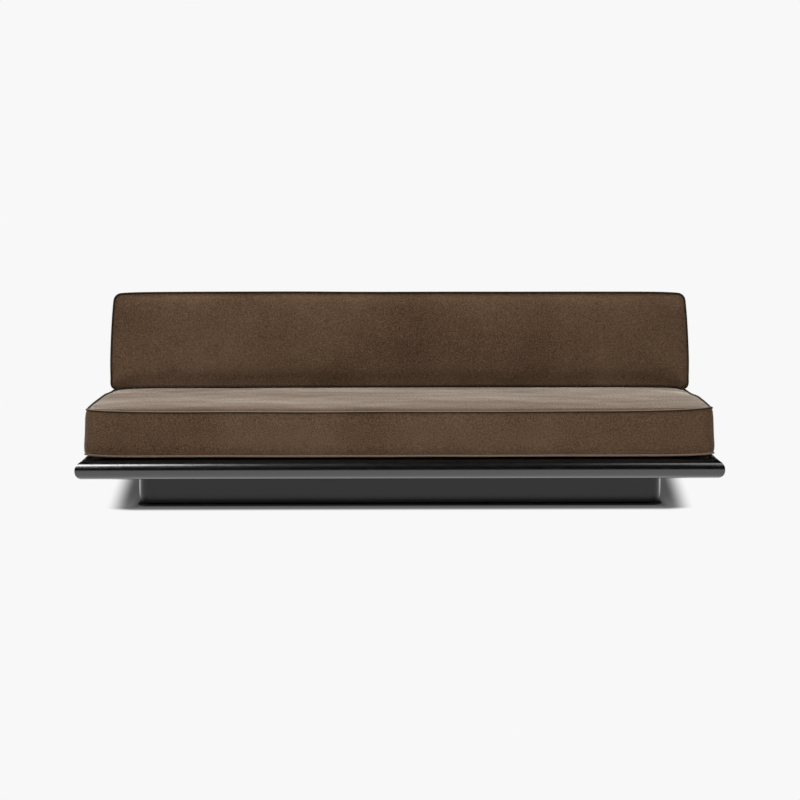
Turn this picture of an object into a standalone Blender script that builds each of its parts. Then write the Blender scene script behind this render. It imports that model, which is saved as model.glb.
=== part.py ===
"""Three-seater sofa: two loose box cushions on a low lacquered platform with a recessed plinth.

Metres, +Z up. The front faces -Y and the origin is on the floor under the middle of the platform.
"""

import math

import bmesh
import bpy
from mathutils import Matrix, Vector

# Clearances
GAP = 0.0003
SEAM_CLEARANCE = 0.0005
FOAM_CLEARANCE = 0.0009
ZIP_CLEARANCE = 0.0005

# Platform frame
PLATFORM_WIDTH = 2.380
PLATFORM_DEPTH = 0.920
PLATFORM_THICKNESS = 0.070
RAIL_WIDTH = 0.120
REBATE_WIDTH = 0.020
DECK_THICKNESS = 0.018
DECK_PANELS = 3
BEARER_WIDTH = 0.045
BEARER_END_INSET = 0.010
HOUSING_DEPTH = 0.015

# Plinth and levelling feet
PLINTH_HEIGHT = 0.128
PLINTH_RECESS = 0.203
PLINTH_PANEL = 0.018
PLINTH_POST = 0.060
PLINTH_CORNER_RADIUS = 0.035
FLOOR_GAP = 0.005
BATTEN_WIDTH = 0.034
BATTEN_HEIGHT = 0.026
RIB_THICKNESS = 0.056
FOOT_PAD_RADIUS = 0.020
FOOT_PAD_EDGE = 0.001
FOOT_STEM_RADIUS = 0.005
FOOT_STEM_LENGTH = 0.040
FRAME_SCREW_RADIUS = 0.0025
FRAME_SCREW_HEAD = 0.005
FRAME_SCREW_HEAD_HEIGHT = 0.003
FRAME_SCREW_GRIP = 0.028

# Back support
UPRIGHT_END_INSET = 0.266
UPRIGHT_WIDTH = 0.060
UPRIGHT_THICKNESS = 0.010
UPRIGHT_FOOT = 0.048
UPRIGHT_FOOT_MARGIN = 0.0005
FOOT_BOLT_RADIUS = 0.005
FOOT_BOLT_HEAD = 0.009
FOOT_BOLT_HEAD_HEIGHT = 0.006
FOOT_BOLT_GRIP = 0.035
BOARD_THICKNESS = 0.012
BOARD_RISE = 0.036
BOARD_TOP_INSET = 0.024
BOARD_END_INSET = 0.110
BOARD_OVERLAP = 0.022
BOARD_SCREW_RADIUS = 0.003
BOARD_SCREW_HEAD = 0.006
BOARD_SCREW_HEAD_HEIGHT = 0.0025
BOARD_SCREW_COVER = 0.003
BOARD_SCREW_INSET = 0.060
STRIP_WIDTH = 0.120
STRIP_THICKNESS = 0.0022
STRIP_END_INSET = 0.060
SUPPORT_GAPS = 4

# Seat cushion
SEAT_SIDE_MARGIN = 0.032
SEAT_FRONT_MARGIN = 0.044
SEAT_REAR_CLEARANCE = 0.034
SEAT_HEIGHT = 0.168
SEAT_CROWN = 0.010
SEAT_BASE_CROWN = 0.0085
GRIP_THICKNESS = 0.0015
GRIP_WIDTH = 0.420
GRIP_END_INSET = 0.160

# Back cushion
BACK_HEIGHT = 0.374
BACK_BASE_THICKNESS = 0.165
BACK_CROWN = 0.010
FRONT_RECLINE = math.radians(10.0)
REAR_RECLINE = math.radians(6.4)
BACK_ZIP_RISE = 0.018

# Sewn covers
COVER_THICKNESS = 0.002
CORNER_RADIUS = 0.030
PIPING_RADIUS = 0.0042
BOX_BULGE = 0.004
DRAW_IN = 0.004
CORNER_RISE = 0.005
ZIP_WIDTH = 0.012
ZIP_THICKNESS = 0.0022
ZIP_END_INSET = 0.120
SLIDER_WIDTH = 0.010
SLIDER_LENGTH = 0.014
SLIDER_TAB_WIDTH = 0.005
SLIDER_TAB_LENGTH = 0.026
SLIDER_THICKNESS = 0.003

# Fineness of round and soft shapes
ROUND_SIDES = 12
BULLNOSE_STEPS = 12
CORNER_STEPS = 3
ROWS_ALONG = 5
ROWS_ACROSS = 4
CROWN_POWER = 6
EDGE_POWER = 4
RISE_POWER = 10
ARC_STEPS = 6
SMOOTH_ANGLE = math.radians(30.0)
WELD_DISTANCE = 1e-6
TURN_MERGE = 1e-4
ROW_TOLERANCE = 1e-5

# Levels and lines worked out from the sizes above
TOP_Z = PLINTH_HEIGHT + PLATFORM_THICKNESS
HALF_WIDTH = PLATFORM_WIDTH / 2
HALF_DEPTH = PLATFORM_DEPTH / 2
BULLNOSE_RADIUS = PLATFORM_THICKNESS / 2
FRAME_X = HALF_WIDTH - RAIL_WIDTH
FRAME_Y = HALF_DEPTH - RAIL_WIDTH
PANEL_X = FRAME_X + REBATE_WIDTH - GAP
PANEL_Y = FRAME_Y + REBATE_WIDTH - GAP
BEARER_HIGH = TOP_Z - DECK_THICKNESS - GAP
PLINTH_X = HALF_WIDTH - PLINTH_RECESS
PLINTH_Y = HALF_DEPTH - PLINTH_RECESS
PLINTH_TOP = PLINTH_HEIGHT - GAP
BETWEEN_POSTS_X = PLINTH_X - PLINTH_POST - GAP
BETWEEN_POSTS_Y = PLINTH_Y - PLINTH_POST - GAP
INSIDE_PANEL_Y = PLINTH_Y - PLINTH_PANEL - GAP
BATTEN_Y = INSIDE_PANEL_Y - BATTEN_WIDTH / 2
PANEL_STEP = 2 * PANEL_X / DECK_PANELS
PANEL_JOINTS = [joint * PANEL_STEP - PANEL_X for joint in range(1, DECK_PANELS)]
OUTER_BEARER_X = BETWEEN_POSTS_X - BEARER_END_INSET - BEARER_WIDTH / 2
BEARER_PLACES = [-OUTER_BEARER_X, *PANEL_JOINTS, OUTER_BEARER_X]
UPRIGHT_REAR_Y = HALF_DEPTH - BULLNOSE_RADIUS - UPRIGHT_FOOT_MARGIN - UPRIGHT_FOOT
UPRIGHT_FRONT_Y = UPRIGHT_REAR_Y - UPRIGHT_THICKNESS
SEAT_FRONT_Y = -HALF_DEPTH + SEAT_FRONT_MARGIN
SEAT_REAR_Y = UPRIGHT_FRONT_Y - SEAT_REAR_CLEARANCE
CUSHION_WIDTH = PLATFORM_WIDTH - 2 * SEAT_SIDE_MARGIN
SEAT_SEAM_Z = TOP_Z + GAP + max(GRIP_THICKNESS + SEAT_BASE_CROWN, PIPING_RADIUS)
SEAT_LEVEL_Z = SEAT_SEAM_Z + SEAT_HEIGHT + max(SEAT_CROWN, CORNER_RISE + PIPING_RADIUS)
SEAM_CHAMFER = math.sqrt(2.0) * (PIPING_RADIUS + SEAM_CLEARANCE)
ZIP_LENGTH = CUSHION_WIDTH - 2 * ZIP_END_INSET
BOARD_WIDTH = CUSHION_WIDTH - 2 * BOARD_END_INSET
STRIP_LENGTH = BOARD_WIDTH - 2 * STRIP_END_INSET
UPRIGHT_SPACING = BOARD_WIDTH / 2 - UPRIGHT_END_INSET
UPRIGHT_PLACES = {"left": -UPRIGHT_SPACING, "middle": 0.0, "right": UPRIGHT_SPACING}
SUPPORT = Matrix.Translation((0.0, UPRIGHT_FRONT_Y, SEAT_LEVEL_Z)) @ Matrix.Rotation(-REAR_RECLINE, 4, "X")

# Turns a section drawn in X and Y into one in Y and Z, drawn out along X
ALONG_X = Matrix(((0, 0, 1, 0), (1, 0, 0, 0), (0, 1, 0, 0), (0, 0, 0, 1)))

FINISHES = {
    "black_lacquer": ((0.012, 0.012, 0.013), 0.25, 0.0),
    "plywood": ((0.55, 0.38, 0.22), 0.60, 0.0),
    "softwood": ((0.60, 0.45, 0.28), 0.65, 0.0),
    "black_steel": ((0.015, 0.015, 0.016), 0.40, 0.9),
    "zinc_steel": ((0.55, 0.56, 0.58), 0.35, 1.0),
    "foot_plastic": ((0.010, 0.010, 0.010), 0.55, 0.0),
    "suede": ((0.090, 0.056, 0.036), 0.90, 0.0),
    "foam": ((0.78, 0.74, 0.62), 0.95, 0.0),
    "tape": ((0.020, 0.018, 0.016), 0.85, 0.0),
}


def clear_scene():
    for obj in list(bpy.data.objects):
        bpy.data.objects.remove(obj, do_unlink=True)


def new_collection(name, hidden=False):
    collection = bpy.data.collections.new(name)
    bpy.context.scene.collection.children.link(collection)
    collection.hide_render = hidden
    return collection


def finish_material(name):
    """Material of a named finish, made the first time it is asked for."""
    material = bpy.data.materials.get(name)
    if material is None:
        colour, roughness, metallic = FINISHES[name]
        material = bpy.data.materials.new(name)
        material.use_nodes = True
        shader = material.node_tree.nodes["Principled BSDF"]
        shader.inputs["Base Color"].default_value = (*colour, 1.0)
        shader.inputs["Roughness"].default_value = roughness
        shader.inputs["Metallic"].default_value = metallic
    return material


clear_scene()
PARTS = new_collection("three_seater_sofa")
CUTTERS = new_collection("cutters", hidden=True)


def add_part(name, data, finish, matrix=None, parent=None):
    """Object of a mesh or curve in the sofa's collection, with its finish and its place."""
    data.name = name
    obj = bpy.data.objects.new(name, data)
    PARTS.objects.link(obj)
    if not data.materials:
        data.materials.append(finish_material(finish))
    obj.parent = parent
    obj.matrix_world = matrix or Matrix.Identity(4)
    return obj


def add_empty(name, location):
    empty = bpy.data.objects.new(name, None)
    PARTS.objects.link(empty)
    empty.location = location
    bpy.context.view_layer.update()
    return empty


def add_cutter(name, bm):
    cutter = bpy.data.objects.new(name, mesh_from(bm))
    CUTTERS.objects.link(cutter)
    cutter.hide_render = True
    return cutter


def cut(obj, cutter):
    modifier = obj.modifiers.new(cutter.name, "BOOLEAN")
    modifier.operation = "DIFFERENCE"
    modifier.object = cutter


def mesh_from(bm):
    """Mesh of a finished shape, smooth where it is round."""
    bmesh.ops.recalc_face_normals(bm, faces=bm.faces)
    mesh = bpy.data.meshes.new("shape")
    bm.to_mesh(mesh)
    bm.free()
    mesh.shade_smooth()
    mesh.set_sharp_from_angle(angle=SMOOTH_ANGLE)
    return mesh


def evaluated_mesh(obj):
    """Plain welded mesh of an object's curve or modifiers. The object is removed."""
    bpy.context.scene.collection.objects.link(obj)
    graph = bpy.context.evaluated_depsgraph_get()
    mesh = bpy.data.meshes.new_from_object(obj.evaluated_get(graph))
    bpy.data.objects.remove(obj, do_unlink=True)
    bm = bmesh.new()
    bm.from_mesh(mesh)
    bmesh.ops.remove_doubles(bm, verts=bm.verts, dist=WELD_DISTANCE)
    bpy.data.meshes.remove(mesh)
    return mesh_from(bm)


def block_bm(size, centre=(0.0, 0.0, 0.0)):
    bm = bmesh.new()
    bmesh.ops.create_cube(bm, size=1.0)
    bmesh.ops.scale(bm, vec=size, verts=bm.verts)
    bmesh.ops.translate(bm, vec=centre, verts=bm.verts)
    return bm


def add_block(name, low, high, finish, matrix=None, parent=None):
    """Box between two opposite corners."""
    low = Vector(low)
    high = Vector(high)
    centre = (low + high) / 2
    mesh = mesh_from(block_bm(high - low))
    place = (matrix or Matrix.Identity(4)) @ Matrix.Translation(centre)
    return add_part(name, mesh, finish, place, parent)


def prism(outline, length):
    """Flat outline in local X and Y, drawn out along local Z about its middle."""
    curve = bpy.data.curves.new("outline", "CURVE")
    curve.dimensions = "2D"
    curve.fill_mode = "BOTH"
    curve.extrude = length / 2
    spline = curve.splines.new("POLY")
    spline.points.add(len(outline) - 1)
    for point, (x, y) in zip(spline.points, outline):
        point.co = (x, y, 0.0, 1.0)
    spline.use_cyclic_u = True
    return evaluated_mesh(bpy.data.objects.new("outline", curve))


def arc(centre, radius, start, end, steps):
    angles = [start + (end - start) * step / steps for step in range(steps + 1)]
    return [(centre[0] + radius * math.cos(a), centre[1] + radius * math.sin(a)) for a in angles]


def turned(profile):
    """Shape turned about local Z from (radius, height) points that run down its outer side."""
    bm = bmesh.new()
    verts = [bm.verts.new((radius, 0.0, height)) for radius, height in profile]
    for first, second in zip(verts, verts[1:]):
        bm.edges.new((first, second))
    mesh = bpy.data.meshes.new("profile")
    bm.to_mesh(mesh)
    bm.free()
    obj = bpy.data.objects.new("profile", mesh)
    screw = obj.modifiers.new("turn", "SCREW")
    screw.axis = "Z"
    screw.steps = ROUND_SIDES
    screw.render_steps = ROUND_SIDES
    screw.use_merge_vertices = True
    screw.merge_threshold = TURN_MERGE
    return evaluated_mesh(obj)


def screw_shape(shank, head, head_height, length):
    """Screw with its head under local Z zero and its shank above."""
    profile = [
        (0.0, length),
        (shank, length),
        (shank, 0.0),
        (head, 0.0),
        (head, -head_height),
        (0.0, -head_height),
    ]
    return turned(profile)


def bores(name, places, radius, low, high):
    """Cutter of round holes that clear a shank of the radius, from low to high along each place's Z."""
    bm = bmesh.new()
    wide = (radius + GAP) / math.cos(math.pi / ROUND_SIDES)
    for place in places:
        bmesh.ops.create_cone(
            bm,
            cap_ends=True,
            segments=ROUND_SIDES,
            radius1=wide,
            radius2=wide,
            depth=high - low,
            matrix=place @ Matrix.Translation((0.0, 0.0, (low + high) / 2)),
        )
    return add_cutter(name, bm)


# Platform frame


def rail_outline(outer):
    """Section of a platform rail in Y and Z: a full bullnose at y = -outer, and an inner rebate."""
    inner = -outer + RAIL_WIDTH
    nose = (-outer + BULLNOSE_RADIUS, PLINTH_HEIGHT + BULLNOSE_RADIUS)
    quarter = math.pi / 2
    points = arc(nose, BULLNOSE_RADIUS, quarter, 3 * quarter, BULLNOSE_STEPS)
    points += [
        (inner, PLINTH_HEIGHT),
        (inner, TOP_Z - DECK_THICKNESS - GAP),
        (inner - REBATE_WIDTH, TOP_Z - DECK_THICKNESS - GAP),
        (inner - REBATE_WIDTH, TOP_Z),
    ]
    return points


def mitre(bm, corner, side):
    """Cut a rail at 45 degrees through its outer corner, on its +X or -X side."""
    result = bmesh.ops.bisect_plane(
        bm,
        geom=bm.verts[:] + bm.edges[:] + bm.faces[:],
        plane_co=corner,
        plane_no=(side, 1.0, 0.0),
        clear_outer=True,
    )
    edges = [item for item in result["geom_cut"] if isinstance(item, bmesh.types.BMEdge)]
    bmesh.ops.holes_fill(bm, edges=edges)


def rail_mesh(length, outer):
    """Mitred rail along X with its bullnose towards -Y."""
    mesh = prism(rail_outline(outer), length)
    mesh.transform(ALONG_X)
    bm = bmesh.new()
    bm.from_mesh(mesh)
    bpy.data.meshes.remove(mesh)
    for side in (-1.0, 1.0):
        mitre(bm, (side * (length / 2 - GAP), -outer, 0.0), side)
    return mesh_from(bm)


def platform_rails():
    sides = {
        "platform_front_rail": (PLATFORM_WIDTH, HALF_DEPTH, 0.0),
        "platform_right_rail": (PLATFORM_DEPTH, HALF_WIDTH, 90.0),
        "platform_rear_rail": (PLATFORM_WIDTH, HALF_DEPTH, 180.0),
        "platform_left_rail": (PLATFORM_DEPTH, HALF_WIDTH, 270.0),
    }
    rails = {}
    for name, (length, outer, turn) in sides.items():
        mesh = rail_mesh(length, outer)
        mesh.transform(Matrix.Rotation(math.radians(turn), 4, "Z"))
        rails[name] = add_part(name, mesh, "black_lacquer")
    return rails


def platform_bearers(rails):
    """Bearers under the deck, housed in the front and rear rails."""
    bearers = []
    housings = bmesh.new()
    half = BEARER_WIDTH / 2
    reach = FRAME_Y + HOUSING_DEPTH
    for number, x in enumerate(BEARER_PLACES, 1):
        low = (x - half, GAP - reach, PLINTH_HEIGHT)
        high = (x + half, reach - GAP, BEARER_HIGH)
        bearers.append(add_block(f"deck_bearer_{number}", low, high, "softwood"))
        size = (BEARER_WIDTH + 2 * GAP, 2 * reach, 2 * PLATFORM_THICKNESS)
        centre = Matrix.Translation((x, 0.0, BEARER_HIGH + GAP - PLATFORM_THICKNESS))
        housing = bmesh.ops.create_cube(housings, size=1.0, matrix=centre)
        bmesh.ops.scale(housings, vec=size, space=centre.inverted(), verts=housing["verts"])
    cutter = add_cutter("bearer_housings", housings)
    cut(rails["platform_front_rail"], cutter)
    cut(rails["platform_rear_rail"], cutter)
    return bearers


def deck_panels():
    """Deck panels in the rails' rebate, with their joints over the inner bearers."""
    for number in range(DECK_PANELS):
        start = number * PANEL_STEP - PANEL_X
        low = (start + GAP / 2, -PANEL_Y, TOP_Z - DECK_THICKNESS)
        high = (start + PANEL_STEP - GAP / 2, PANEL_Y, TOP_Z)
        add_block(f"deck_panel_{number + 1}", low, high, "plywood")


# Plinth and feet


def plinth_panels():
    for name, end in (("plinth_front_panel", -1.0), ("plinth_rear_panel", 1.0)):
        faces = sorted((end * PLINTH_Y, end * (PLINTH_Y - PLINTH_PANEL)))
        low = (-BETWEEN_POSTS_X, faces[0], FLOOR_GAP)
        high = (BETWEEN_POSTS_X, faces[1], PLINTH_TOP)
        add_block(name, low, high, "black_lacquer")
    for name, side in (("plinth_left_panel", -1.0), ("plinth_right_panel", 1.0)):
        faces = sorted((side * PLINTH_X, side * (PLINTH_X - PLINTH_PANEL)))
        low = (faces[0], -BETWEEN_POSTS_Y, FLOOR_GAP)
        high = (faces[1], BETWEEN_POSTS_Y, PLINTH_TOP)
        add_block(name, low, high, "black_lacquer")


def plinth_posts():
    """Square posts at the plinth's corners, each with its outer edge rounded."""
    radius = PLINTH_CORNER_RADIUS
    half = PLINTH_POST / 2
    outline = arc((half - radius, half - radius), radius, 0.0, math.pi / 2, ARC_STEPS)
    outline += [(-half, half), (-half, -half), (half, -half)]
    posts = []
    corners = ((1, 1, "rear_right"), (-1, 1, "rear_left"), (-1, -1, "front_left"), (1, -1, "front_right"))
    for quarter, (side, end, label) in enumerate(corners):
        mesh = prism(outline, PLINTH_TOP - FLOOR_GAP)
        mesh.transform(Matrix.Rotation(quarter * math.pi / 2, 4, "Z"))
        place = (side * (PLINTH_X - half), end * (PLINTH_Y - half), (PLINTH_TOP + FLOOR_GAP) / 2)
        posts.append(add_part(f"plinth_post_{label}", mesh, "black_lacquer", Matrix.Translation(place)))
    return posts


def plinth_battens():
    battens = []
    half = BATTEN_WIDTH / 2
    for name, end in (("plinth_front_batten", -1.0), ("plinth_rear_batten", 1.0)):
        low = (-BETWEEN_POSTS_X, end * BATTEN_Y - half, PLINTH_TOP - BATTEN_HEIGHT)
        high = (BETWEEN_POSTS_X, end * BATTEN_Y + half, PLINTH_TOP)
        battens.append(add_block(name, low, high, "softwood"))
    return battens


def plinth_rib():
    """Thick cross rib under the battens in the middle, which carries the middle feet."""
    half = RIB_THICKNESS / 2
    low = (-half, -INSIDE_PANEL_Y, FLOOR_GAP)
    high = (half, INSIDE_PANEL_Y, PLINTH_TOP - BATTEN_HEIGHT - GAP)
    return add_block("plinth_centre_rib", low, high, "softwood")


def levelling_feet(carriers):
    """Screw feet in tapped holes: four under the posts and two under the rib."""
    post_x = PLINTH_X - PLINTH_POST / 2
    post_y = PLINTH_Y - PLINTH_POST / 2
    rib_y = INSIDE_PANEL_Y - RIB_THICKNESS / 2
    spots = {
        "front_left": (-post_x, -post_y),
        "front_middle": (0.0, -rib_y),
        "front_right": (post_x, -post_y),
        "rear_left": (-post_x, post_y),
        "rear_middle": (0.0, rib_y),
        "rear_right": (post_x, post_y),
    }
    pad_top = FLOOR_GAP - GAP
    foot = turned(
        [
            (0.0, pad_top + FOOT_STEM_LENGTH),
            (FOOT_STEM_RADIUS, pad_top + FOOT_STEM_LENGTH),
            (FOOT_STEM_RADIUS, pad_top),
            (FOOT_PAD_RADIUS - FOOT_PAD_EDGE, pad_top),
            (FOOT_PAD_RADIUS, pad_top - FOOT_PAD_EDGE),
            (FOOT_PAD_RADIUS, FOOT_PAD_EDGE),
            (FOOT_PAD_RADIUS - FOOT_PAD_EDGE, 0.0),
            (0.0, 0.0),
        ]
    )
    places = []
    for label, (x, y) in spots.items():
        place = Matrix.Translation((x, y, 0.0))
        add_part(f"levelling_foot_{label}", foot.copy(), "foot_plastic", place)
        places.append(place)
    holes = bores("foot_holes", places, FOOT_STEM_RADIUS, 0.0, FLOOR_GAP + FOOT_STEM_LENGTH + GAP)
    for carrier in carriers:
        cut(carrier, holes)


def frame_screws(battens, bearers):
    """Screws from below through the battens into the outer bearers."""
    length = BATTEN_HEIGHT + FRAME_SCREW_GRIP
    base = PLINTH_TOP - BATTEN_HEIGHT - GAP
    shape = screw_shape(FRAME_SCREW_RADIUS, FRAME_SCREW_HEAD, FRAME_SCREW_HEAD_HEIGHT, length)
    places = []
    for side, x in (("left", BEARER_PLACES[0]), ("right", BEARER_PLACES[-1])):
        for end, y in (("front", -BATTEN_Y), ("rear", BATTEN_Y)):
            place = Matrix.Translation((x, y, base))
            add_part(f"frame_screw_{end}_{side}", shape.copy(), "zinc_steel", place)
            places.append(place)
    holes = bores("frame_screw_holes", places, FRAME_SCREW_RADIUS, -GAP, length + GAP)
    for piece in [*battens, bearers[0], bearers[-1]]:
        cut(piece, holes)


# Back support


def back_section():
    """Corners of the back cushion's section at the seams, as (y, z): base and top, rear and front."""
    depth = BOARD_THICKNESS + 2 * STRIP_THICKNESS + SUPPORT_GAPS * GAP
    on_rear = SUPPORT @ Vector((0.0, -depth, 0.0))
    rear_slope = math.tan(REAR_RECLINE)
    front_slope = math.tan(FRONT_RECLINE)
    base_z = SEAT_LEVEL_Z + GAP + PIPING_RADIUS
    rear_base = on_rear.y + (base_z - on_rear.z) * rear_slope
    front_base = rear_base - BACK_BASE_THICKNESS
    front_top = front_base + BACK_HEIGHT * front_slope
    # The top runs square to the front face until it meets the rear line.
    run = (rear_base - front_top + BACK_HEIGHT * rear_slope) / (1 + front_slope * rear_slope)
    return {
        "rear_base": Vector((rear_base, base_z)),
        "front_base": Vector((front_base, base_z)),
        "rear_top": Vector((front_top + run, base_z + BACK_HEIGHT - run * front_slope)),
        "front_top": Vector((front_top, base_z + BACK_HEIGHT)),
    }


def board_height():
    """Height of the back board along its slope, up to its inset under the cushion's rear top seam."""
    top = back_section()["rear_top"]
    reach = SUPPORT.inverted() @ Vector((0.0, top.x, top.y))
    return reach.z - BOARD_RISE - BOARD_TOP_INSET


def upright_outline():
    """Section of a bent upright in Y and Z, from its foot on the platform to its top."""
    half_turn = math.tan(REAR_RECLINE / 2)
    rise = BOARD_RISE + board_height() - BOARD_OVERLAP
    front_top = SUPPORT @ Vector((0.0, 0.0, rise))
    rear_top = SUPPORT @ Vector((0.0, UPRIGHT_THICKNESS, rise))
    base = TOP_Z + GAP
    return [
        (UPRIGHT_FRONT_Y, base),
        (UPRIGHT_REAR_Y + UPRIGHT_FOOT, base),
        (UPRIGHT_REAR_Y + UPRIGHT_FOOT, base + UPRIGHT_THICKNESS),
        (UPRIGHT_REAR_Y, base + UPRIGHT_THICKNESS),
        (UPRIGHT_REAR_Y, SEAT_LEVEL_Z - UPRIGHT_THICKNESS * half_turn),
        (rear_top.y, rear_top.z),
        (front_top.y, front_top.z),
        (UPRIGHT_FRONT_Y, SEAT_LEVEL_Z),
    ]


def back_uprights(rear_rail):
    """Bent flat bars, each bolted to the rear rail through its foot."""
    uprights = []
    places = []
    top = TOP_Z + UPRIGHT_THICKNESS + 2 * GAP
    bolt_y = UPRIGHT_REAR_Y + UPRIGHT_FOOT / 2
    length = UPRIGHT_THICKNESS + FOOT_BOLT_GRIP
    bolt = screw_shape(FOOT_BOLT_RADIUS, FOOT_BOLT_HEAD, FOOT_BOLT_HEAD_HEIGHT, length)
    for label, x in UPRIGHT_PLACES.items():
        mesh = prism(upright_outline(), UPRIGHT_WIDTH)
        mesh.transform(ALONG_X)
        place = Matrix.Translation((x, 0.0, 0.0))
        uprights.append(add_part(f"back_upright_{label}", mesh, "black_steel", place))
        down = Matrix.Translation((x, bolt_y, top)) @ Matrix.Rotation(math.pi, 4, "X")
        add_part(f"upright_bolt_{label}", bolt.copy(), "zinc_steel", down)
        places.append(down)
    holes = bores("upright_bolt_holes", places, FOOT_BOLT_RADIUS, -GAP, length + GAP)
    for piece in [*uprights, rear_rail]:
        cut(piece, holes)
    return uprights


def back_board(uprights):
    """Board behind the back cushion, screwed to the uprights."""
    half = BOARD_WIDTH / 2
    low = (-half, -GAP - BOARD_THICKNESS, BOARD_RISE)
    top = BOARD_RISE + board_height()
    high = (half, -GAP, top)
    board = add_block("back_board", low, high, "black_lacquer", SUPPORT)
    forward = Matrix.Rotation(math.pi / 2, 4, "X")
    length = UPRIGHT_THICKNESS + BOARD_THICKNESS - BOARD_SCREW_COVER
    shape = screw_shape(BOARD_SCREW_RADIUS, BOARD_SCREW_HEAD, BOARD_SCREW_HEAD_HEIGHT, length)
    rises = {
        "lower": BOARD_RISE + BOARD_SCREW_INSET,
        "upper": top - BOARD_SCREW_INSET,
    }
    places = []
    for label, x in UPRIGHT_PLACES.items():
        for level, rise in rises.items():
            place = SUPPORT @ Matrix.Translation((x, UPRIGHT_THICKNESS + GAP, rise)) @ forward
            add_part(f"board_screw_{level}_{label}", shape.copy(), "zinc_steel", place)
            places.append(place)
    holes = bores("board_screw_holes", places, BOARD_SCREW_RADIUS, -GAP, length + GAP)
    for piece in [board, *uprights]:
        cut(piece, holes)


def fixing_strip(name, layer, parent=None):
    """Hook or loop strip in front of the board, in the first or second layer from it."""
    half = STRIP_LENGTH / 2
    rear = -BOARD_THICKNESS - 2 * GAP - (layer - 1) * (STRIP_THICKNESS + GAP)
    middle = BOARD_RISE + board_height() / 2
    low = (-half, rear - STRIP_THICKNESS, middle - STRIP_WIDTH / 2)
    high = (half, rear, middle + STRIP_WIDTH / 2)
    add_block(name, low, high, "tape", SUPPORT, parent)


# Cushions


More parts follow.
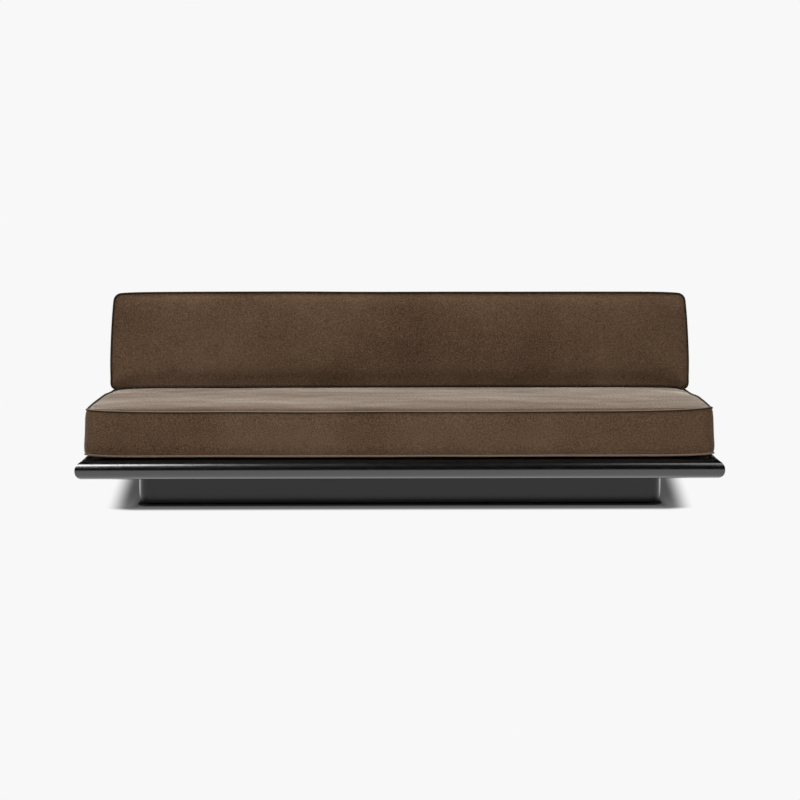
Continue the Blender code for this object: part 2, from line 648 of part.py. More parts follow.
class Cushion:
    """Box cushion in local a (along), b (across) and c (through), bent soft and then put in place."""

    def __init__(self, depth, height, crown, base_crown, rise, place):
        self.width = CUSHION_WIDTH
        self.depth = depth
        self.height = height
        self.crown = crown
        self.base_crown = base_crown
        self.rise = rise
        self.place = place
        self.rows_a = self.rows(self.width, ROWS_ALONG)
        self.rows_b = self.rows(self.depth, ROWS_ACROSS)

    @staticmethod
    def rows(length, count):
        """Row positions on either side of the middle, closer together towards the edges."""
        return [length / 2 * math.sin(math.pi / 2 * k / count) for k in range(1 - count, count)]

    def soften(self, point):
        """Crown the panels, fill the boxing, draw the sides in and lift the front corners."""
        a, b, c = point
        u = min(1.0, abs(a) / (self.width / 2 - SEAM_CHAMFER))
        v = min(1.0, abs(b) / (self.depth / 2 - SEAM_CHAMFER))
        w = c / self.height
        wall = min(1.0, max(0.0, (c - SEAM_CHAMFER) / (self.height - 2 * SEAM_CHAMFER)))
        plateau = (1 - u**CROWN_POWER) * (1 - v**CROWN_POWER)
        bulge = BOX_BULGE * 4 * wall * (1 - wall)
        draw_a = DRAW_IN * (1 - v * v)
        draw_b = DRAW_IN * (1 - u * u) if b < 0 else 0.0
        corner = self.rise * (u * v) ** RISE_POWER if b < 0 else 0.0
        a += math.copysign(1.0, a) * (bulge - draw_a) * u**EDGE_POWER
        b += math.copysign(1.0, b) * (bulge - draw_b) * v**EDGE_POWER
        c += plateau * (self.crown * w - self.base_crown * (1 - w)) + corner * w
        return self.place(a, b, c)

    def cage(self, inset, low, high, cuts_a=(), cuts_b=(), cuts_c=()):
        """Straight box between two levels, with round corners, chamfered seams and rows to bend."""
        size = Vector((self.width - 2 * inset, self.depth - 2 * inset, high - low))
        bm = block_bm(size, (0.0, 0.0, (low + high) / 2))
        uprights = [e for e in bm.edges if abs(e.verts[0].co.z - e.verts[1].co.z) > size.z / 2]
        bmesh.ops.bevel(
            bm,
            geom=uprights,
            offset=CORNER_RADIUS - inset,
            segments=CORNER_STEPS,
            profile=0.5,
            affect="EDGES",
        )
        seams = [e for e in bm.edges if abs(e.verts[0].co.z - e.verts[1].co.z) < size.z / 2]
        bmesh.ops.bevel(bm, geom=seams, offset=SEAM_CHAMFER, segments=1, affect="EDGES")
        rows = [
            ((1.0, 0.0, 0.0), [*self.rows_a, *cuts_a]),
            ((0.0, 1.0, 0.0), [*self.rows_b, *cuts_b]),
            ((0.0, 0.0, 1.0), cuts_c),
        ]
        for normal, offsets in rows:
            for offset in offsets:
                bmesh.ops.bisect_plane(
                    bm,
                    geom=bm.verts[:] + bm.edges[:] + bm.faces[:],
                    dist=ROW_TOLERANCE,
                    plane_co=Vector(normal) * offset,
                    plane_no=normal,
                )
        return bm

    def bend(self, bm):
        for vert in bm.verts:
            vert.co = self.soften(vert.co)
        return mesh_from(bm)

    def core(self, low, high):
        """Foam between two levels inside the cover."""
        inset = COVER_THICKNESS + FOAM_CLEARANCE
        return self.bend(self.cage(inset, low, high, cuts_c=[(low + high) / 2]))

    def cover(self, name, window, parent):
        """Sewn cover, open at the zip's window, which is a box in local a, b and c."""
        low, high = window
        cuts_c = [low.z, high.z] if low.z > 0 else [self.height / 2]
        cuts_b = [low.y, high.y] if low.z < 0 else []
        bm = self.cage(0.0, 0.0, self.height, [low.x, high.x], cuts_b, cuts_c)

        def in_window(face):
            middle = face.calc_center_median()
            return all(start < spot < end for start, spot, end in zip(low, middle, high))

        bmesh.ops.delete(bm, geom=[f for f in bm.faces if in_window(f)], context="FACES")
        cover = add_part(name, self.bend(bm), "suede", parent=parent)
        solidify = cover.modifiers.new("cloth", "SOLIDIFY")
        solidify.thickness = COVER_THICKNESS
        solidify.offset = -1.0
        solidify.use_even_offset = True
        return cover

    def seam_line(self, level):
        """Points once round the seam at a level, at the rows and corner steps of the cage."""
        half_a = self.width / 2
        half_b = self.depth / 2
        straight_a = [a for a in self.rows_a if abs(a) < half_a - CORNER_RADIUS]
        straight_b = [b for b in self.rows_b if abs(b) < half_b - CORNER_RADIUS]
        runs = [
            [(a, half_b) for a in reversed(straight_a)],
            [(-half_a, b) for b in reversed(straight_b)],
            [(a, -half_b) for a in straight_a],
            [(half_a, b) for b in straight_b],
        ]
        points = []
        for quarter, (run, sides) in enumerate(zip(runs, ((1, 1), (-1, 1), (-1, -1), (1, -1)))):
            centre = (sides[0] * (half_a - CORNER_RADIUS), sides[1] * (half_b - CORNER_RADIUS))
            start = quarter * math.pi / 2
            points += arc(centre, CORNER_RADIUS, start, start + math.pi / 2, CORNER_STEPS)
            points += run
        return [self.soften((a, b, level)) for a, b in points]

    def piping(self, name, level, parent):
        """Round piping sewn into the seam at a level."""
        curve = bpy.data.curves.new(name, "CURVE")
        curve.dimensions = "3D"
        curve.bevel_depth = PIPING_RADIUS
        curve.bevel_resolution = 1
        points = self.seam_line(level)
        spline = curve.splines.new("POLY")
        spline.points.add(len(points) - 1)
        for spot, point in zip(spline.points, points):
            spot.co = (*point, 1.0)
        spline.use_cyclic_u = True
        add_part(name, curve, "suede", parent=parent)


def zip_mesh(cushion, low, high):
    """Closed zip that fills a window, with rows to follow the cover."""
    bm = block_bm(high - low, (low + high) / 2)
    for offset in cushion.rows_a:
        bmesh.ops.bisect_plane(
            bm,
            geom=bm.verts[:] + bm.edges[:] + bm.faces[:],
            plane_co=(offset, 0.0, 0.0),
            plane_no=(1.0, 0.0, 0.0),
        )
    return cushion.bend(bm)


def slider_mesh():
    """Zip slider with its pull tab, flat in local X and Z, with the tab towards -X."""
    body = SLIDER_LENGTH / 2
    wide = SLIDER_WIDTH / 2
    tab = SLIDER_TAB_WIDTH / 2
    end = -body - SLIDER_TAB_LENGTH
    outline = [(body, tab), (0.0, wide), (-body, wide), (-body, tab)]
    outline += arc((end, 0.0), tab, math.pi / 2, 3 * math.pi / 2, ARC_STEPS)
    outline += [(-body, -tab), (-body, -wide), (0.0, -wide), (body, -tab)]
    mesh = prism(outline, SLIDER_THICKNESS)
    mesh.transform(Matrix.Rotation(math.pi / 2, 4, "X"))
    return mesh


def seat_cushion():
    """Seat: cover, foam, piping at both seams, and a zip in the rear boxing."""
    depth = SEAT_REAR_Y - SEAT_FRONT_Y
    middle_y = (SEAT_REAR_Y + SEAT_FRONT_Y) / 2
    origin = Vector((0.0, middle_y, SEAT_SEAM_Z))

    def place(a, b, c):
        return origin + Vector((a, b, c))

    cushion = Cushion(depth, SEAT_HEIGHT, SEAT_CROWN, SEAT_BASE_CROWN, CORNER_RISE, place)
    parent = add_empty("seat_cushion_slide", origin)
    half = Vector((ZIP_LENGTH / 2, 0.0, ZIP_WIDTH / 2))
    middle = Vector((0.0, depth / 2, SEAT_HEIGHT / 2))
    wall = Vector((0.0, CORNER_RADIUS, 0.0))
    cushion.cover("seat_cover", (middle - half - wall, middle + half + wall), parent)
    inset = COVER_THICKNESS + FOAM_CLEARANCE
    add_part("seat_foam", cushion.core(inset, SEAT_HEIGHT - inset), "foam", parent=parent)
    cushion.piping("seat_bottom_piping", 0.0, parent)
    cushion.piping("seat_top_piping", SEAT_HEIGHT, parent)
    edge = Vector((ZIP_CLEARANCE, 0.0, ZIP_CLEARANCE))
    zip_low = middle - half + edge - Vector((0.0, COVER_THICKNESS, 0.0))
    zip_high = middle + half - edge + Vector((0.0, ZIP_THICKNESS - COVER_THICKNESS, 0.0))
    add_part("seat_zip", zip_mesh(cushion, zip_low, zip_high), "tape", parent=parent)
    lift = BOX_BULGE + ZIP_THICKNESS - COVER_THICKNESS + 2 * GAP + SLIDER_THICKNESS / 2
    spot = origin + middle + Vector((ZIP_LENGTH / 2 - SLIDER_LENGTH, lift, 0.0))
    add_part("seat_zip_slider", slider_mesh(), "zinc_steel", Matrix.Translation(spot), parent)


def back_cushion():
    """Back: cover, foam, piping at both seams, a zip low in the rear panel, and a loop strip."""
    section = back_section()
    rear_line = section["rear_top"] - section["rear_base"]
    front_line = section["front_top"] - section["front_base"]
    base_line = section["front_base"] - section["rear_base"]
    top_line = section["front_top"] - section["rear_top"]
    height = (rear_line + front_line).length / 2
    thickness = (base_line + top_line).length / 2

    def place(a, b, c):
        up = b / height + 0.5
        through = c / thickness
        rear = section["rear_base"].lerp(section["rear_top"], up)
        front = section["front_base"].lerp(section["front_top"], up)
        spot = rear.lerp(front, through)
        return Vector((a, spot.x, spot.y))

    cushion = Cushion(height, thickness, BACK_CROWN, 0.0, 0.0, place)
    parent = add_empty("back_cushion_lift", place(0.0, -height / 2, thickness / 2))
    middle = Vector((0.0, -height / 2 + BACK_ZIP_RISE, 0.0))
    half = Vector((ZIP_LENGTH / 2, ZIP_WIDTH / 2, 0.0))
    wall = Vector((0.0, 0.0, COVER_THICKNESS))
    cushion.cover("back_cover", (middle - half - wall, middle + half + wall), parent)
    inset = COVER_THICKNESS + FOAM_CLEARANCE
    add_part("back_foam", cushion.core(inset, thickness - inset), "foam", parent=parent)
    cushion.piping("back_rear_piping", 0.0, parent)
    cushion.piping("back_front_piping", thickness, parent)
    edge = Vector((ZIP_CLEARANCE, ZIP_CLEARANCE, 0.0))
    zip_low = middle - half + edge - Vector((0.0, 0.0, ZIP_THICKNESS - COVER_THICKNESS))
    zip_high = middle + half - edge + wall
    add_part("back_zip", zip_mesh(cushion, zip_low, zip_high), "tape", parent=parent)
    lift = ZIP_THICKNESS - COVER_THICKNESS + 2 * GAP + SLIDER_THICKNESS / 2
    spot = place(ZIP_LENGTH / 2 - SLIDER_LENGTH, middle.y, -lift)
    tilt = Matrix.Rotation(-REAR_RECLINE, 4, "X")
    add_part("back_zip_slider", slider_mesh(), "zinc_steel", Matrix.Translation(spot) @ tilt, parent)
    fixing_strip("cushion_loop_strip", 2, parent)


def grip_mat():
    """Anti-slip mat on the deck under the seat cushion."""
    middle = (SEAT_REAR_Y + SEAT_FRONT_Y) / 2
    half = CUSHION_WIDTH / 2 - GRIP_END_INSET
    low = (-half, middle - GRIP_WIDTH / 2, TOP_Z + GAP / 2)
    high = (half, middle + GRIP_WIDTH / 2, TOP_Z + GAP / 2 + GRIP_THICKNESS)
    add_block("deck_grip_mat", low, high, "tape")


def main():
    rails = platform_rails()
    bearers = platform_bearers(rails)
    deck_panels()
    plinth_panels()
    posts = plinth_posts()
    battens = plinth_battens()
    rib = plinth_rib()
    levelling_feet([*posts, rib])
    frame_screws(battens, bearers)
    uprights = back_uprights(rails["platform_rear_rail"])
    back_board(uprights)
    fixing_strip("board_hook_strip", 1)
    grip_mat()
    seat_cushion()
    back_cushion()


main()
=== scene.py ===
"""Looks of the three-seater sofa around its packed model.

Metres, in the frame of the packed model: +X along the sofa, -Y to the front, +Z up.
"""

import math

import bmesh
import bpy
import numpy as np
from bpy.props import FloatProperty, FloatVectorProperty, IntProperty, PointerProperty
from mathutils import Matrix, Vector, noise


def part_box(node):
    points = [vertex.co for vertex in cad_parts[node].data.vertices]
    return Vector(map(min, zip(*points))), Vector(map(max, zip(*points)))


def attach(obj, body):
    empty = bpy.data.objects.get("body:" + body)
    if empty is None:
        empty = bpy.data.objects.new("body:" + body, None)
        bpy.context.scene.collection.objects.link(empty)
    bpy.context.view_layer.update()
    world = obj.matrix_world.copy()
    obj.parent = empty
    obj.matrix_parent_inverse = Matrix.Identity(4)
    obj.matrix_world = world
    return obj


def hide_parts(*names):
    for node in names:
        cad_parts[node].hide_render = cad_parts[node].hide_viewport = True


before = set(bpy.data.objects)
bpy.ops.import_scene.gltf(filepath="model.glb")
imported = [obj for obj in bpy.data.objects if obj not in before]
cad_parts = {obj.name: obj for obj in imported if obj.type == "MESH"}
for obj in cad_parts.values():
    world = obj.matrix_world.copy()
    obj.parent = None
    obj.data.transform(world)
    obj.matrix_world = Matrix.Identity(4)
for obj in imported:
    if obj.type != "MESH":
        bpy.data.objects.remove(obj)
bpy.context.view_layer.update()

bl_info = {
    "name": "Three-seater sofa",
    "version": (1, 0, 0),
    "blender": (4, 5, 0),
    "location": "3D View > Sidebar > Sofa",
    "description": "Cushions, platform, plinth and back support of a low three-seater sofa",
    "category": "Object",
}

# Levels and lines read from the packed model
FRONT_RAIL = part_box("platform_front_rail")
HALF_DEPTH = -FRONT_RAIL[0].y
HALF_WIDTH = -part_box("platform_left_rail")[0].x
PLATFORM_BASE = FRONT_RAIL[0].z
PLATFORM_TOP = FRONT_RAIL[1].z
RAIL_WIDTH = FRONT_RAIL[1].y - FRONT_RAIL[0].y
DECK_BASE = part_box("deck_panel_1")[0].z
DECK_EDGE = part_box("deck_panel_1")[0].y
MAT_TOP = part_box("deck_grip_mat")[1].z
SEAT_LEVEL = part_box("seat_cover")[1].z
UPRIGHT_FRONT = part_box("back_upright_left")[0].y
RECLINE = math.radians(6.4)
LEAN = Matrix.Rotation(-RECLINE, 4, "X")
SUPPORT = Matrix.Translation((0.0, UPRIGHT_FRONT, SEAT_LEVEL)) @ LEAN
CLEAR = 0.0003

SIDES = ("left", "middle", "right")
CORNERS = ("front_left", "front_right", "rear_left", "rear_right")


def length(label, text, value):
    return FloatProperty(
        name=label, description=text, default=value, min=0.0, precision=4, unit="LENGTH"
    )


def amount(label, text, value):
    return FloatProperty(name=label, description=text, default=value, min=0.0)


def colour(label, text, value):
    return FloatVectorProperty(
        name=label, description=text, default=value, size=3, min=0.0, max=1.0, subtype="COLOR"
    )


class SofaCushions(bpy.types.PropertyGroup):
    """Sizes of the two piped box cushions."""

    cord_radius: length("Piping radius", "Radius of the piping in its cloth", 0.0042)
    corner_radius: length("Corner radius", "Radius of the cushions' corners in plan", 0.030)
    grid: length("Grid", "Spacing of the covers' grid", 0.012)
    seat_crown: length("Seat crown", "Most that the seat's top panel swells", 0.0064)
    seat_base: length("Seat base", "Most that the seat's underside swells", 0.0125)
    back_crown: length("Back crown", "Most that the back's front panel swells", 0.012)
    back_rear: length("Back rear", "Most that the back's rear panel swells", 0.0004)
    wall_fill: length("Boxing fill", "Most that the boxing walls swell", 0.005)
    seat_bow: length("Seat bow", "How far the seat's ends bow out between the corners", 0.008)
    back_bow: length("Back bow", "How far the back's ends bow out between the corners", 0.007)
    corner_rise: length("Corner rise", "How far the seat's front top corners stand up", 0.005)
    corner_lift: length("Corner lift", "How far the seat's front bottom corners lift", 0.008)
    front_sag: length(
        "Front sag", "How far the seat's front top seam hangs between its corners", 0.0045
    )
    sag_reach: length("Sag reach", "How far back from the front seam the top slopes down", 0.22)
    rear_drop: length("Rear drop", "How far the seat's rear ends sink under the back", 0.007)
    shoulder: length("Shoulder", "How far the back's top corners slope down", 0.0085)
    back_tilt: length(
        "Back tilt", "How much lower than its middle the back's right end stands", 0.0023
    )
    foot_fill: length("Foot fill", "How far the back's lower corners fill out", 0.007)
    roll_under: length("Roll-under", "How far the back's lower front seam rolls under", 0.008)
    seam_wander: length("Seam wander", "How far the sewn seams wander from a straight line", 0.0016)
    wall_bulge: length(
        "Wall bulge", "How far the seat's ends spread towards their lower seam", 0.006
    )
    dents: length("Dents", "Slow unevenness of the filled covers", 0.0014)
    puckers: length("Puckers", "Small puckers along the seams", 0.0007)
    pressure: amount("Pressure", "Pressure of the filling on the cover", 4.0)
    steps: IntProperty(name="Steps", description="Steps of the filling", default=20, min=1)


class SofaBase(bpy.types.PropertyGroup):
    """Sizes of the platform, plinth and back support details."""

    mitre_ease: length("Mitre ease", "Radius that eases the platform's outer corners", 0.005)
    plinth_corner: length("Plinth corner", "Radius of the plinth's outer corners", 0.045)
    plinth_ease: length("Plinth ease", "Rounding along the plinth's foot", 0.005)
    edge_ease: length("Edge ease", "Rounding along the edges of steel and board", 0.0016)
    mat_pitch: length("Mat pitch", "Distance between the grip mat's knobs", 0.008)
    upright_bend: length("Upright bend", "Inner radius of the uprights' foot bend", 0.008)
    zip_pitch: length("Zip pitch", "Distance between the zips' teeth", 0.0022)
    stitch_pitch: length("Stitch pitch", "Distance between stitches", 0.0042)


class SofaColours(bpy.types.PropertyGroup):
    """Colours of the finishes."""

    suede_deep: colour("Suede deep", "Darkest flecks of the suede cloth", (0.026, 0.014, 0.007))
    suede: colour("Suede", "Main colour of the suede cloth", (0.073, 0.043, 0.025))
    suede_nap: colour("Suede nap", "Lightest flecks of the suede cloth", (0.135, 0.086, 0.055))
    # Painted shade: the piping's dark tone stands for the shade in its groove and under the cord
    piping: colour("Piping", "Pressed suede of the piping", (0.016, 0.0095, 0.0055))
    # Painted light: this pale colour stands for light from above on the upper half of the seat's
    # front piping
    painted_light_piping: colour(
        "Worn piping", "Brushed top of the seat's front piping", (0.15, 0.12, 0.095)
    )
    lower_piping: colour(
        "Lower piping", "Paler suede of the seat's lower piping", (0.15, 0.112, 0.083)
    )
    suede_sheen: colour("Suede sheen", "Sheen of the suede's nap", (1.0, 0.90, 0.78))
    lacquer: colour("Lacquer", "Black lacquer of the platform and plinth", (0.0015, 0.0015, 0.0017))
    plywood: colour("Plywood", "Face of the deck's black-stained plywood", (0.018, 0.016, 0.015))
    plywood_grain: colour("Plywood grain", "Darker grain of the plywood", (0.007, 0.006, 0.006))
    softwood: colour("Softwood", "Planed softwood", (0.58, 0.42, 0.25))
    softwood_grain: colour("Softwood grain", "Darker grain of the softwood", (0.40, 0.25, 0.12))
    steel: colour("Black steel", "Powder coat of the uprights", (0.012, 0.012, 0.013))
    zinc: colour("Zinc", "Plating of screws, bolts and zip sliders", (0.58, 0.58, 0.57))
    nylon: colour("Nylon", "Levelling feet", (0.012, 0.012, 0.012))
    tape: colour("Tape", "Zips, strips and mat", (0.018, 0.016, 0.015))


class SofaStage(bpy.types.PropertyGroup):
    """Camera, floor and light."""

    distance: length("Camera distance", "From the platform's front edge to the camera", 6.42)
    height: length("Camera height", "Height of the camera above the floor", 1.28)
    lens: amount("Lens", "Focal length in millimetres on a 36 mm sensor", 79.1)
    drop: amount("Frame drop", "Share of the frame by which it is shifted down", 0.29375)
    aside: amount("Frame aside", "Share of the frame by which it is shifted to the right", 0.0011)
    roll: FloatProperty(
        name="Roll",
        description="Turn of the camera about its view",
        default=math.radians(0.13),
        subtype="ANGLE",
    )
    backdrop: colour("Backdrop", "Floor and backdrop as they are seen", (0.939, 0.939, 0.939))
    floor: colour("Floor", "Floor as the light finds it", (0.66, 0.66, 0.66))
    shade: colour("Floor shade", "Floor in the plinth's shadow", (0.3, 0.3, 0.3))
    sky: amount("Sky", "Strength of the even light", 0.50)
    overhead: amount("Overhead", "Power of the overhead light in watts", 190.0)
    fill: amount("Fill", "Power of the soft front light in watts", 620.0)
    left_box: amount("Left light", "Power of the front left light in watts", 170.0)
    right_box: amount("Right light", "Power of the front right light in watts", 30.0)
    cards: amount(
        "Cards", "Power of the cards that only gloss shows, as a share of their lights", 3.2
    )
    glow: amount("Glow", "How much brighter than it looks the white floor is in gloss", 2.55)


GROUPS = {
    "sofa_cushions": SofaCushions,
    "sofa_base": SofaBase,
    "sofa_colours": SofaColours,
    "sofa_stage": SofaStage,
}


# Materials


def put(tree, kind, sockets, **options):
    """Add a node with its options, and fill its sockets with values or other nodes' outputs."""
    node = tree.nodes.new(kind)
    for option, value in options.items():
        setattr(node, option, value)
    for socket, value in sockets.items():
        if isinstance(value, bpy.types.NodeSocket):
            tree.links.new(value, node.inputs[socket])
        else:
            node.inputs[socket].default_value = value
    return node


class Finish:
    """Procedural material on Object coordinates, built node by node."""

    def __init__(self, name, sockets):
        self.material = bpy.data.materials.new(name)
        self.material.use_nodes = True
        self.tree = self.material.node_tree
        self.shader = self.tree.nodes["Principled BSDF"]
        for socket, value in sockets.items():
            self.shader.inputs[socket].default_value = value
        self.spot = put(self.tree, "ShaderNodeTexCoord", {}).outputs["Object"]

    def put(self, kind, sockets, output=0, **options):
        return put(self.tree, kind, sockets, **options).outputs[output]

    def stretched(self, scale, shift=(0.0, 0.0, 0.0)):
        sockets = {"Vector": self.spot, "Scale": scale, "Location": shift}
        return self.put("ShaderNodeMapping", sockets)

    def noise(self, scale, detail=3.0, roughness=0.5, vector=None):
        sockets = {"Vector": vector or self.spot, "Scale": scale}
        return self.put("ShaderNodeTexNoise", {**sockets, "Detail": detail, "Roughness": roughness})

    def cells(self, scale, vector=None):
        sockets = {"Vector": vector or self.spot, "Scale": scale}
        return self.put("ShaderNodeTexVoronoi", sockets, "Distance")

    def sum(self, first, second, share):
        """Weighted sum of two values: first plus share times second."""
        sockets = {0: second, 1: share, 2: first}
        return self.put("ShaderNodeMath", sockets, operation="MULTIPLY_ADD")

    def spread(self, value, low, high, start=0.0, end=1.0):
        sockets = {"Value": value, "From Min": low, "From Max": high}
        return self.put("ShaderNodeMapRange", {**sockets, "To Min": start, "To Max": end})

    def ramp(self, value, stops):
        """Colours along a value, as (place, colour)."""
        node = put(self.tree, "ShaderNodeValToRGB", {"Fac": value})
        line = node.color_ramp.elements
        while len(line) < len(stops):
            line.new(0.5)
        for element, (place, tone) in zip(line, stops):
            element.position = place
            element.color = (*tone, 1.0)
        return node.outputs["Color"]

    def paint(self, socket, value):
        self.tree.links.new(value, self.shader.inputs[socket])

    def tint(self, value, tone, *stops):
        """Base colour along a value, from places with their shares of one tone."""
        stops = [(place, tuple(share * x for x in tone)) for place, share in stops]
        self.paint("Base Color", self.ramp(value, stops))

    def rough(self, value, low, high):
        self.paint("Roughness", self.spread(value, 0.3, 0.7, low, high))

    def bump(self, value, distance, strength):
        """Relief of the surface. As a finish's last step, it hands over the material."""
        sockets = {"Height": value, "Distance": distance, "Strength": strength}
        self.paint("Normal", self.put("ShaderNodeBump", sockets))
        return self.material


SUEDE_TONES = ("suede_deep", "suede", "suede_nap")


def suede_finish(colours, name="suede", tones=SUEDE_TONES, sheen=0.8, painted_light=None):
    """Short-napped suede cloth: clouded, flecked and brushed, and painted paler as painted light
    from above where the mesh carries a share of painted light.
    """
    sockets = {"Roughness": 0.9, "Specular IOR Level": 0.06}
    tint = (*colours.suede_sheen, 1.0)
    sockets |= {"Sheen Weight": sheen, "Sheen Roughness": 0.3, "Sheen Tint": tint}
    finish = Finish(name, sockets)
    clouds = finish.noise(2.6, 4.0, 0.55)
    flecks = finish.noise(190.0, 4.0, 0.8)
    grain = finish.noise(700.0, 2.0, 0.6)
    streaks = finish.stretched((0.6, 1.0, 1.0), (0.45, 0.3, 0.0))
    brushed = finish.noise(3.2, 2.0, 0.45, streaks)
    value = finish.sum(finish.sum(flecks, grain, 0.45), clouds, 0.3)
    value = finish.sum(value, brushed, 0.15)
    stops = [(place, getattr(colours, tone)) for place, tone in zip((0.25, 0.50, 0.76), tones)]
    tone = finish.ramp(finish.spread(value, 0.525, 1.375), stops)
    # Painted light from above on the piping's upper half, by the share that the mesh carries
    if painted_light:
        share = finish.put("ShaderNodeAttribute", {}, "Fac", attribute_name="painted_light")
        sockets = {0: share, 6: tone, 7: (*painted_light, 1.0)}
        tone = finish.put("ShaderNodeMix", sockets, 2, data_type="RGBA")
    finish.paint("Base Color", tone)
    nap = finish.sum(finish.sum(flecks, grain, 0.6), finish.noise(60.0, 3.0, 0.7), 0.8)
    return finish.bump(finish.sum(nap, brushed, 36.0), 0.0011, 0.5)


def lacquer_finish(colours, name, gloss):
    """Black lacquer with a faint peel and fine rubbing marks."""
    finish = Finish(name, {"IOR": 1.5, "Specular IOR Level": gloss})
    rub = finish.noise(90.0, 4.0, 0.6, finish.stretched((0.25, 1.0, 1.0)))
    finish.tint(rub, colours.lacquer, (0.3, 1.0), (0.8, 2.0))
    finish.rough(rub, 0.185, 0.235)
    return finish.bump(finish.noise(140.0, 1.0), 0.0004, 0.02)


def wood_finish(name, pale, dark, along):
    """Plain wood with its grain along one axis."""
    finish = Finish(name, {"Specular IOR Level": 0.35})
    slow = [1.0 if axis == along else 14.0 for axis in "XYZ"]
    fine = [4.0 if axis == along else 160.0 for axis in "XYZ"]
    rings = finish.noise(2.6, 4.0, 0.55, finish.stretched(slow))
    pores = finish.noise(1.0, 3.0, 0.6, finish.stretched(fine))
    value = finish.sum(rings, pores, 0.35)
    middle = tuple((a + b) / 2 for a, b in zip(pale, dark))
    finish.paint("Base Color", finish.ramp(value, [(0.45, pale), (0.66, middle), (0.86, dark)]))
    finish.rough(pores, 0.5, 0.68)
    return finish.bump(value, 0.0006, 0.4)


def powder_coat_finish(colours):
    """Black powder coat with its fine pebbled skin."""
    finish = Finish("black_steel", {"Specular IOR Level": 0.5})
    wear = finish.noise(14.0, 4.0, 0.6)
    finish.tint(wear, colours.steel, (0.35, 1.0), (0.75, 1.7))
    finish.rough(wear, 0.38, 0.5)
    return finish.bump(finish.cells(900.0), 0.0003, 0.5)


def zinc_finish(colours):
    """Bright zinc plating, faintly clouded."""
    finish = Finish("zinc_steel", {"Metallic": 1.0})
    haze = finish.noise(220.0, 3.0, 0.6)
    finish.tint(haze, colours.zinc, (0.3, 0.75), (0.7, 1.0))
    finish.rough(haze, 0.24, 0.4)
    return finish.bump(haze, 0.0002, 0.2)


def nylon_finish(colours):
    """Moulded black nylon with a fine spark grain."""
    finish = Finish("foot_nylon", {"Specular IOR Level": 0.4})
    grain = finish.noise(1400.0, 2.0, 0.5)
    finish.tint(grain, colours.nylon, (0.3, 1.0), (0.8, 1.8))
    finish.rough(grain, 0.45, 0.62)
    return finish.bump(grain, 0.0002, 0.5)


def woven_finish(name, tone, scale, height):
    """Woven tape: crossing rows of threads, lighter on their tops."""
    sockets = {"Specular IOR Level": 0.25, "Sheen Weight": 0.15, "Sheen Roughness": 0.4}
    finish = Finish(name, sockets)
    bias = (0.0, math.radians(45.0), 0.0)
    turned_spot = finish.put("ShaderNodeMapping", {"Vector": finish.spot, "Rotation": bias})
    fuzz = finish.noise(scale * 2.0, 2.0, 0.7)
    value = finish.sum(finish.cells(scale, turned_spot), fuzz, 0.4)
    finish.tint(value, tone, (0.25, 2.6), (0.85, 1.0))
    finish.rough(fuzz, 0.75, 0.95)
    return finish.bump(value, height, 0.8)


# The piping's tones, darkened as painted shade of its groove and crease
PAINTED_SHADE_PIPING = ("piping", "piping", "suede")
PALE_PIPING = ("suede", "lower_piping", "lower_piping")
MAKERS = {
    "suede": suede_finish,
    # Piping finish: painted shade in its dark tones, and painted light on the seat's front run
    "piping": lambda c: suede_finish(c, "suede_piping_painted_shade_and_light", PAINTED_SHADE_PIPING, 0.12, c.painted_light_piping),
    "lower_piping": lambda c: suede_finish(c, "suede_lower_piping", PALE_PIPING, 0.4),
    "lacquer": lambda c: lacquer_finish(c, "platform_lacquer", 0.5),
    "plinth_lacquer": lambda c: lacquer_finish(c, "plinth_lacquer", 0.2),
    "plywood": lambda c: wood_finish("plywood", c.plywood, c.plywood_grain, "X"),
    "softwood_along": lambda c: wood_finish("softwood_along", c.softwood, c.softwood_grain, "X"),
    "softwood_across": lambda c: wood_finish("softwood_across", c.softwood, c.softwood_grain, "Y"),
    "black_steel": powder_coat_finish,
    "zinc": zinc_finish,
    "nylon": nylon_finish,
    "zip_tape": lambda c: woven_finish("zip_tape", c.tape, 1400.0, 0.0003),
    "hook_tape": lambda c: woven_finish("hook_tape", c.tape, 700.0, 0.0008),
    "grip_mat": lambda c: woven_finish("grip_mat", c.tape, 260.0, 0.0012),
}
MADE = {}


def finish_named(name):
    """Material of a named finish, made the first time it is asked for."""
    if name not in MADE:
        MADE[name] = MAKERS[name](bpy.context.scene.sofa_colours)
    return MADE[name]


# Meshes


def add_piece(name, mesh, finish, body, slot, *nodes):
    """Piece that moves with a body and stands for some CAD nodes."""
    mesh.name = name
    piece = bpy.data.objects.new(name, mesh)
    bpy.context.scene.collection.objects.link(piece)
    mesh.materials.clear()
    mesh.materials.append(finish_named(finish))
    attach(piece, body)
    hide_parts(*nodes)
    return piece


def dress(finish, *nodes):
    """Give CAD nodes a better material."""
    for node in nodes:
        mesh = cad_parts[node].data
        mesh.materials.clear()
        mesh.materials.append(finish_named(finish))


def mesh_of(bm, smooth=35.0):
    """Closed mesh with its faces turned out, smooth up to an angle in degrees."""
    bmesh.ops.remove_doubles(bm, verts=bm.verts, dist=1e-6)
    bmesh.ops.recalc_face_normals(bm, faces=bm.faces)
    mesh = bpy.data.meshes.new("piece")
    bm.to_mesh(mesh)
    bm.free()
    mesh.shade_smooth()
    mesh.set_sharp_from_angle(angle=math.radians(smooth))
    return mesh


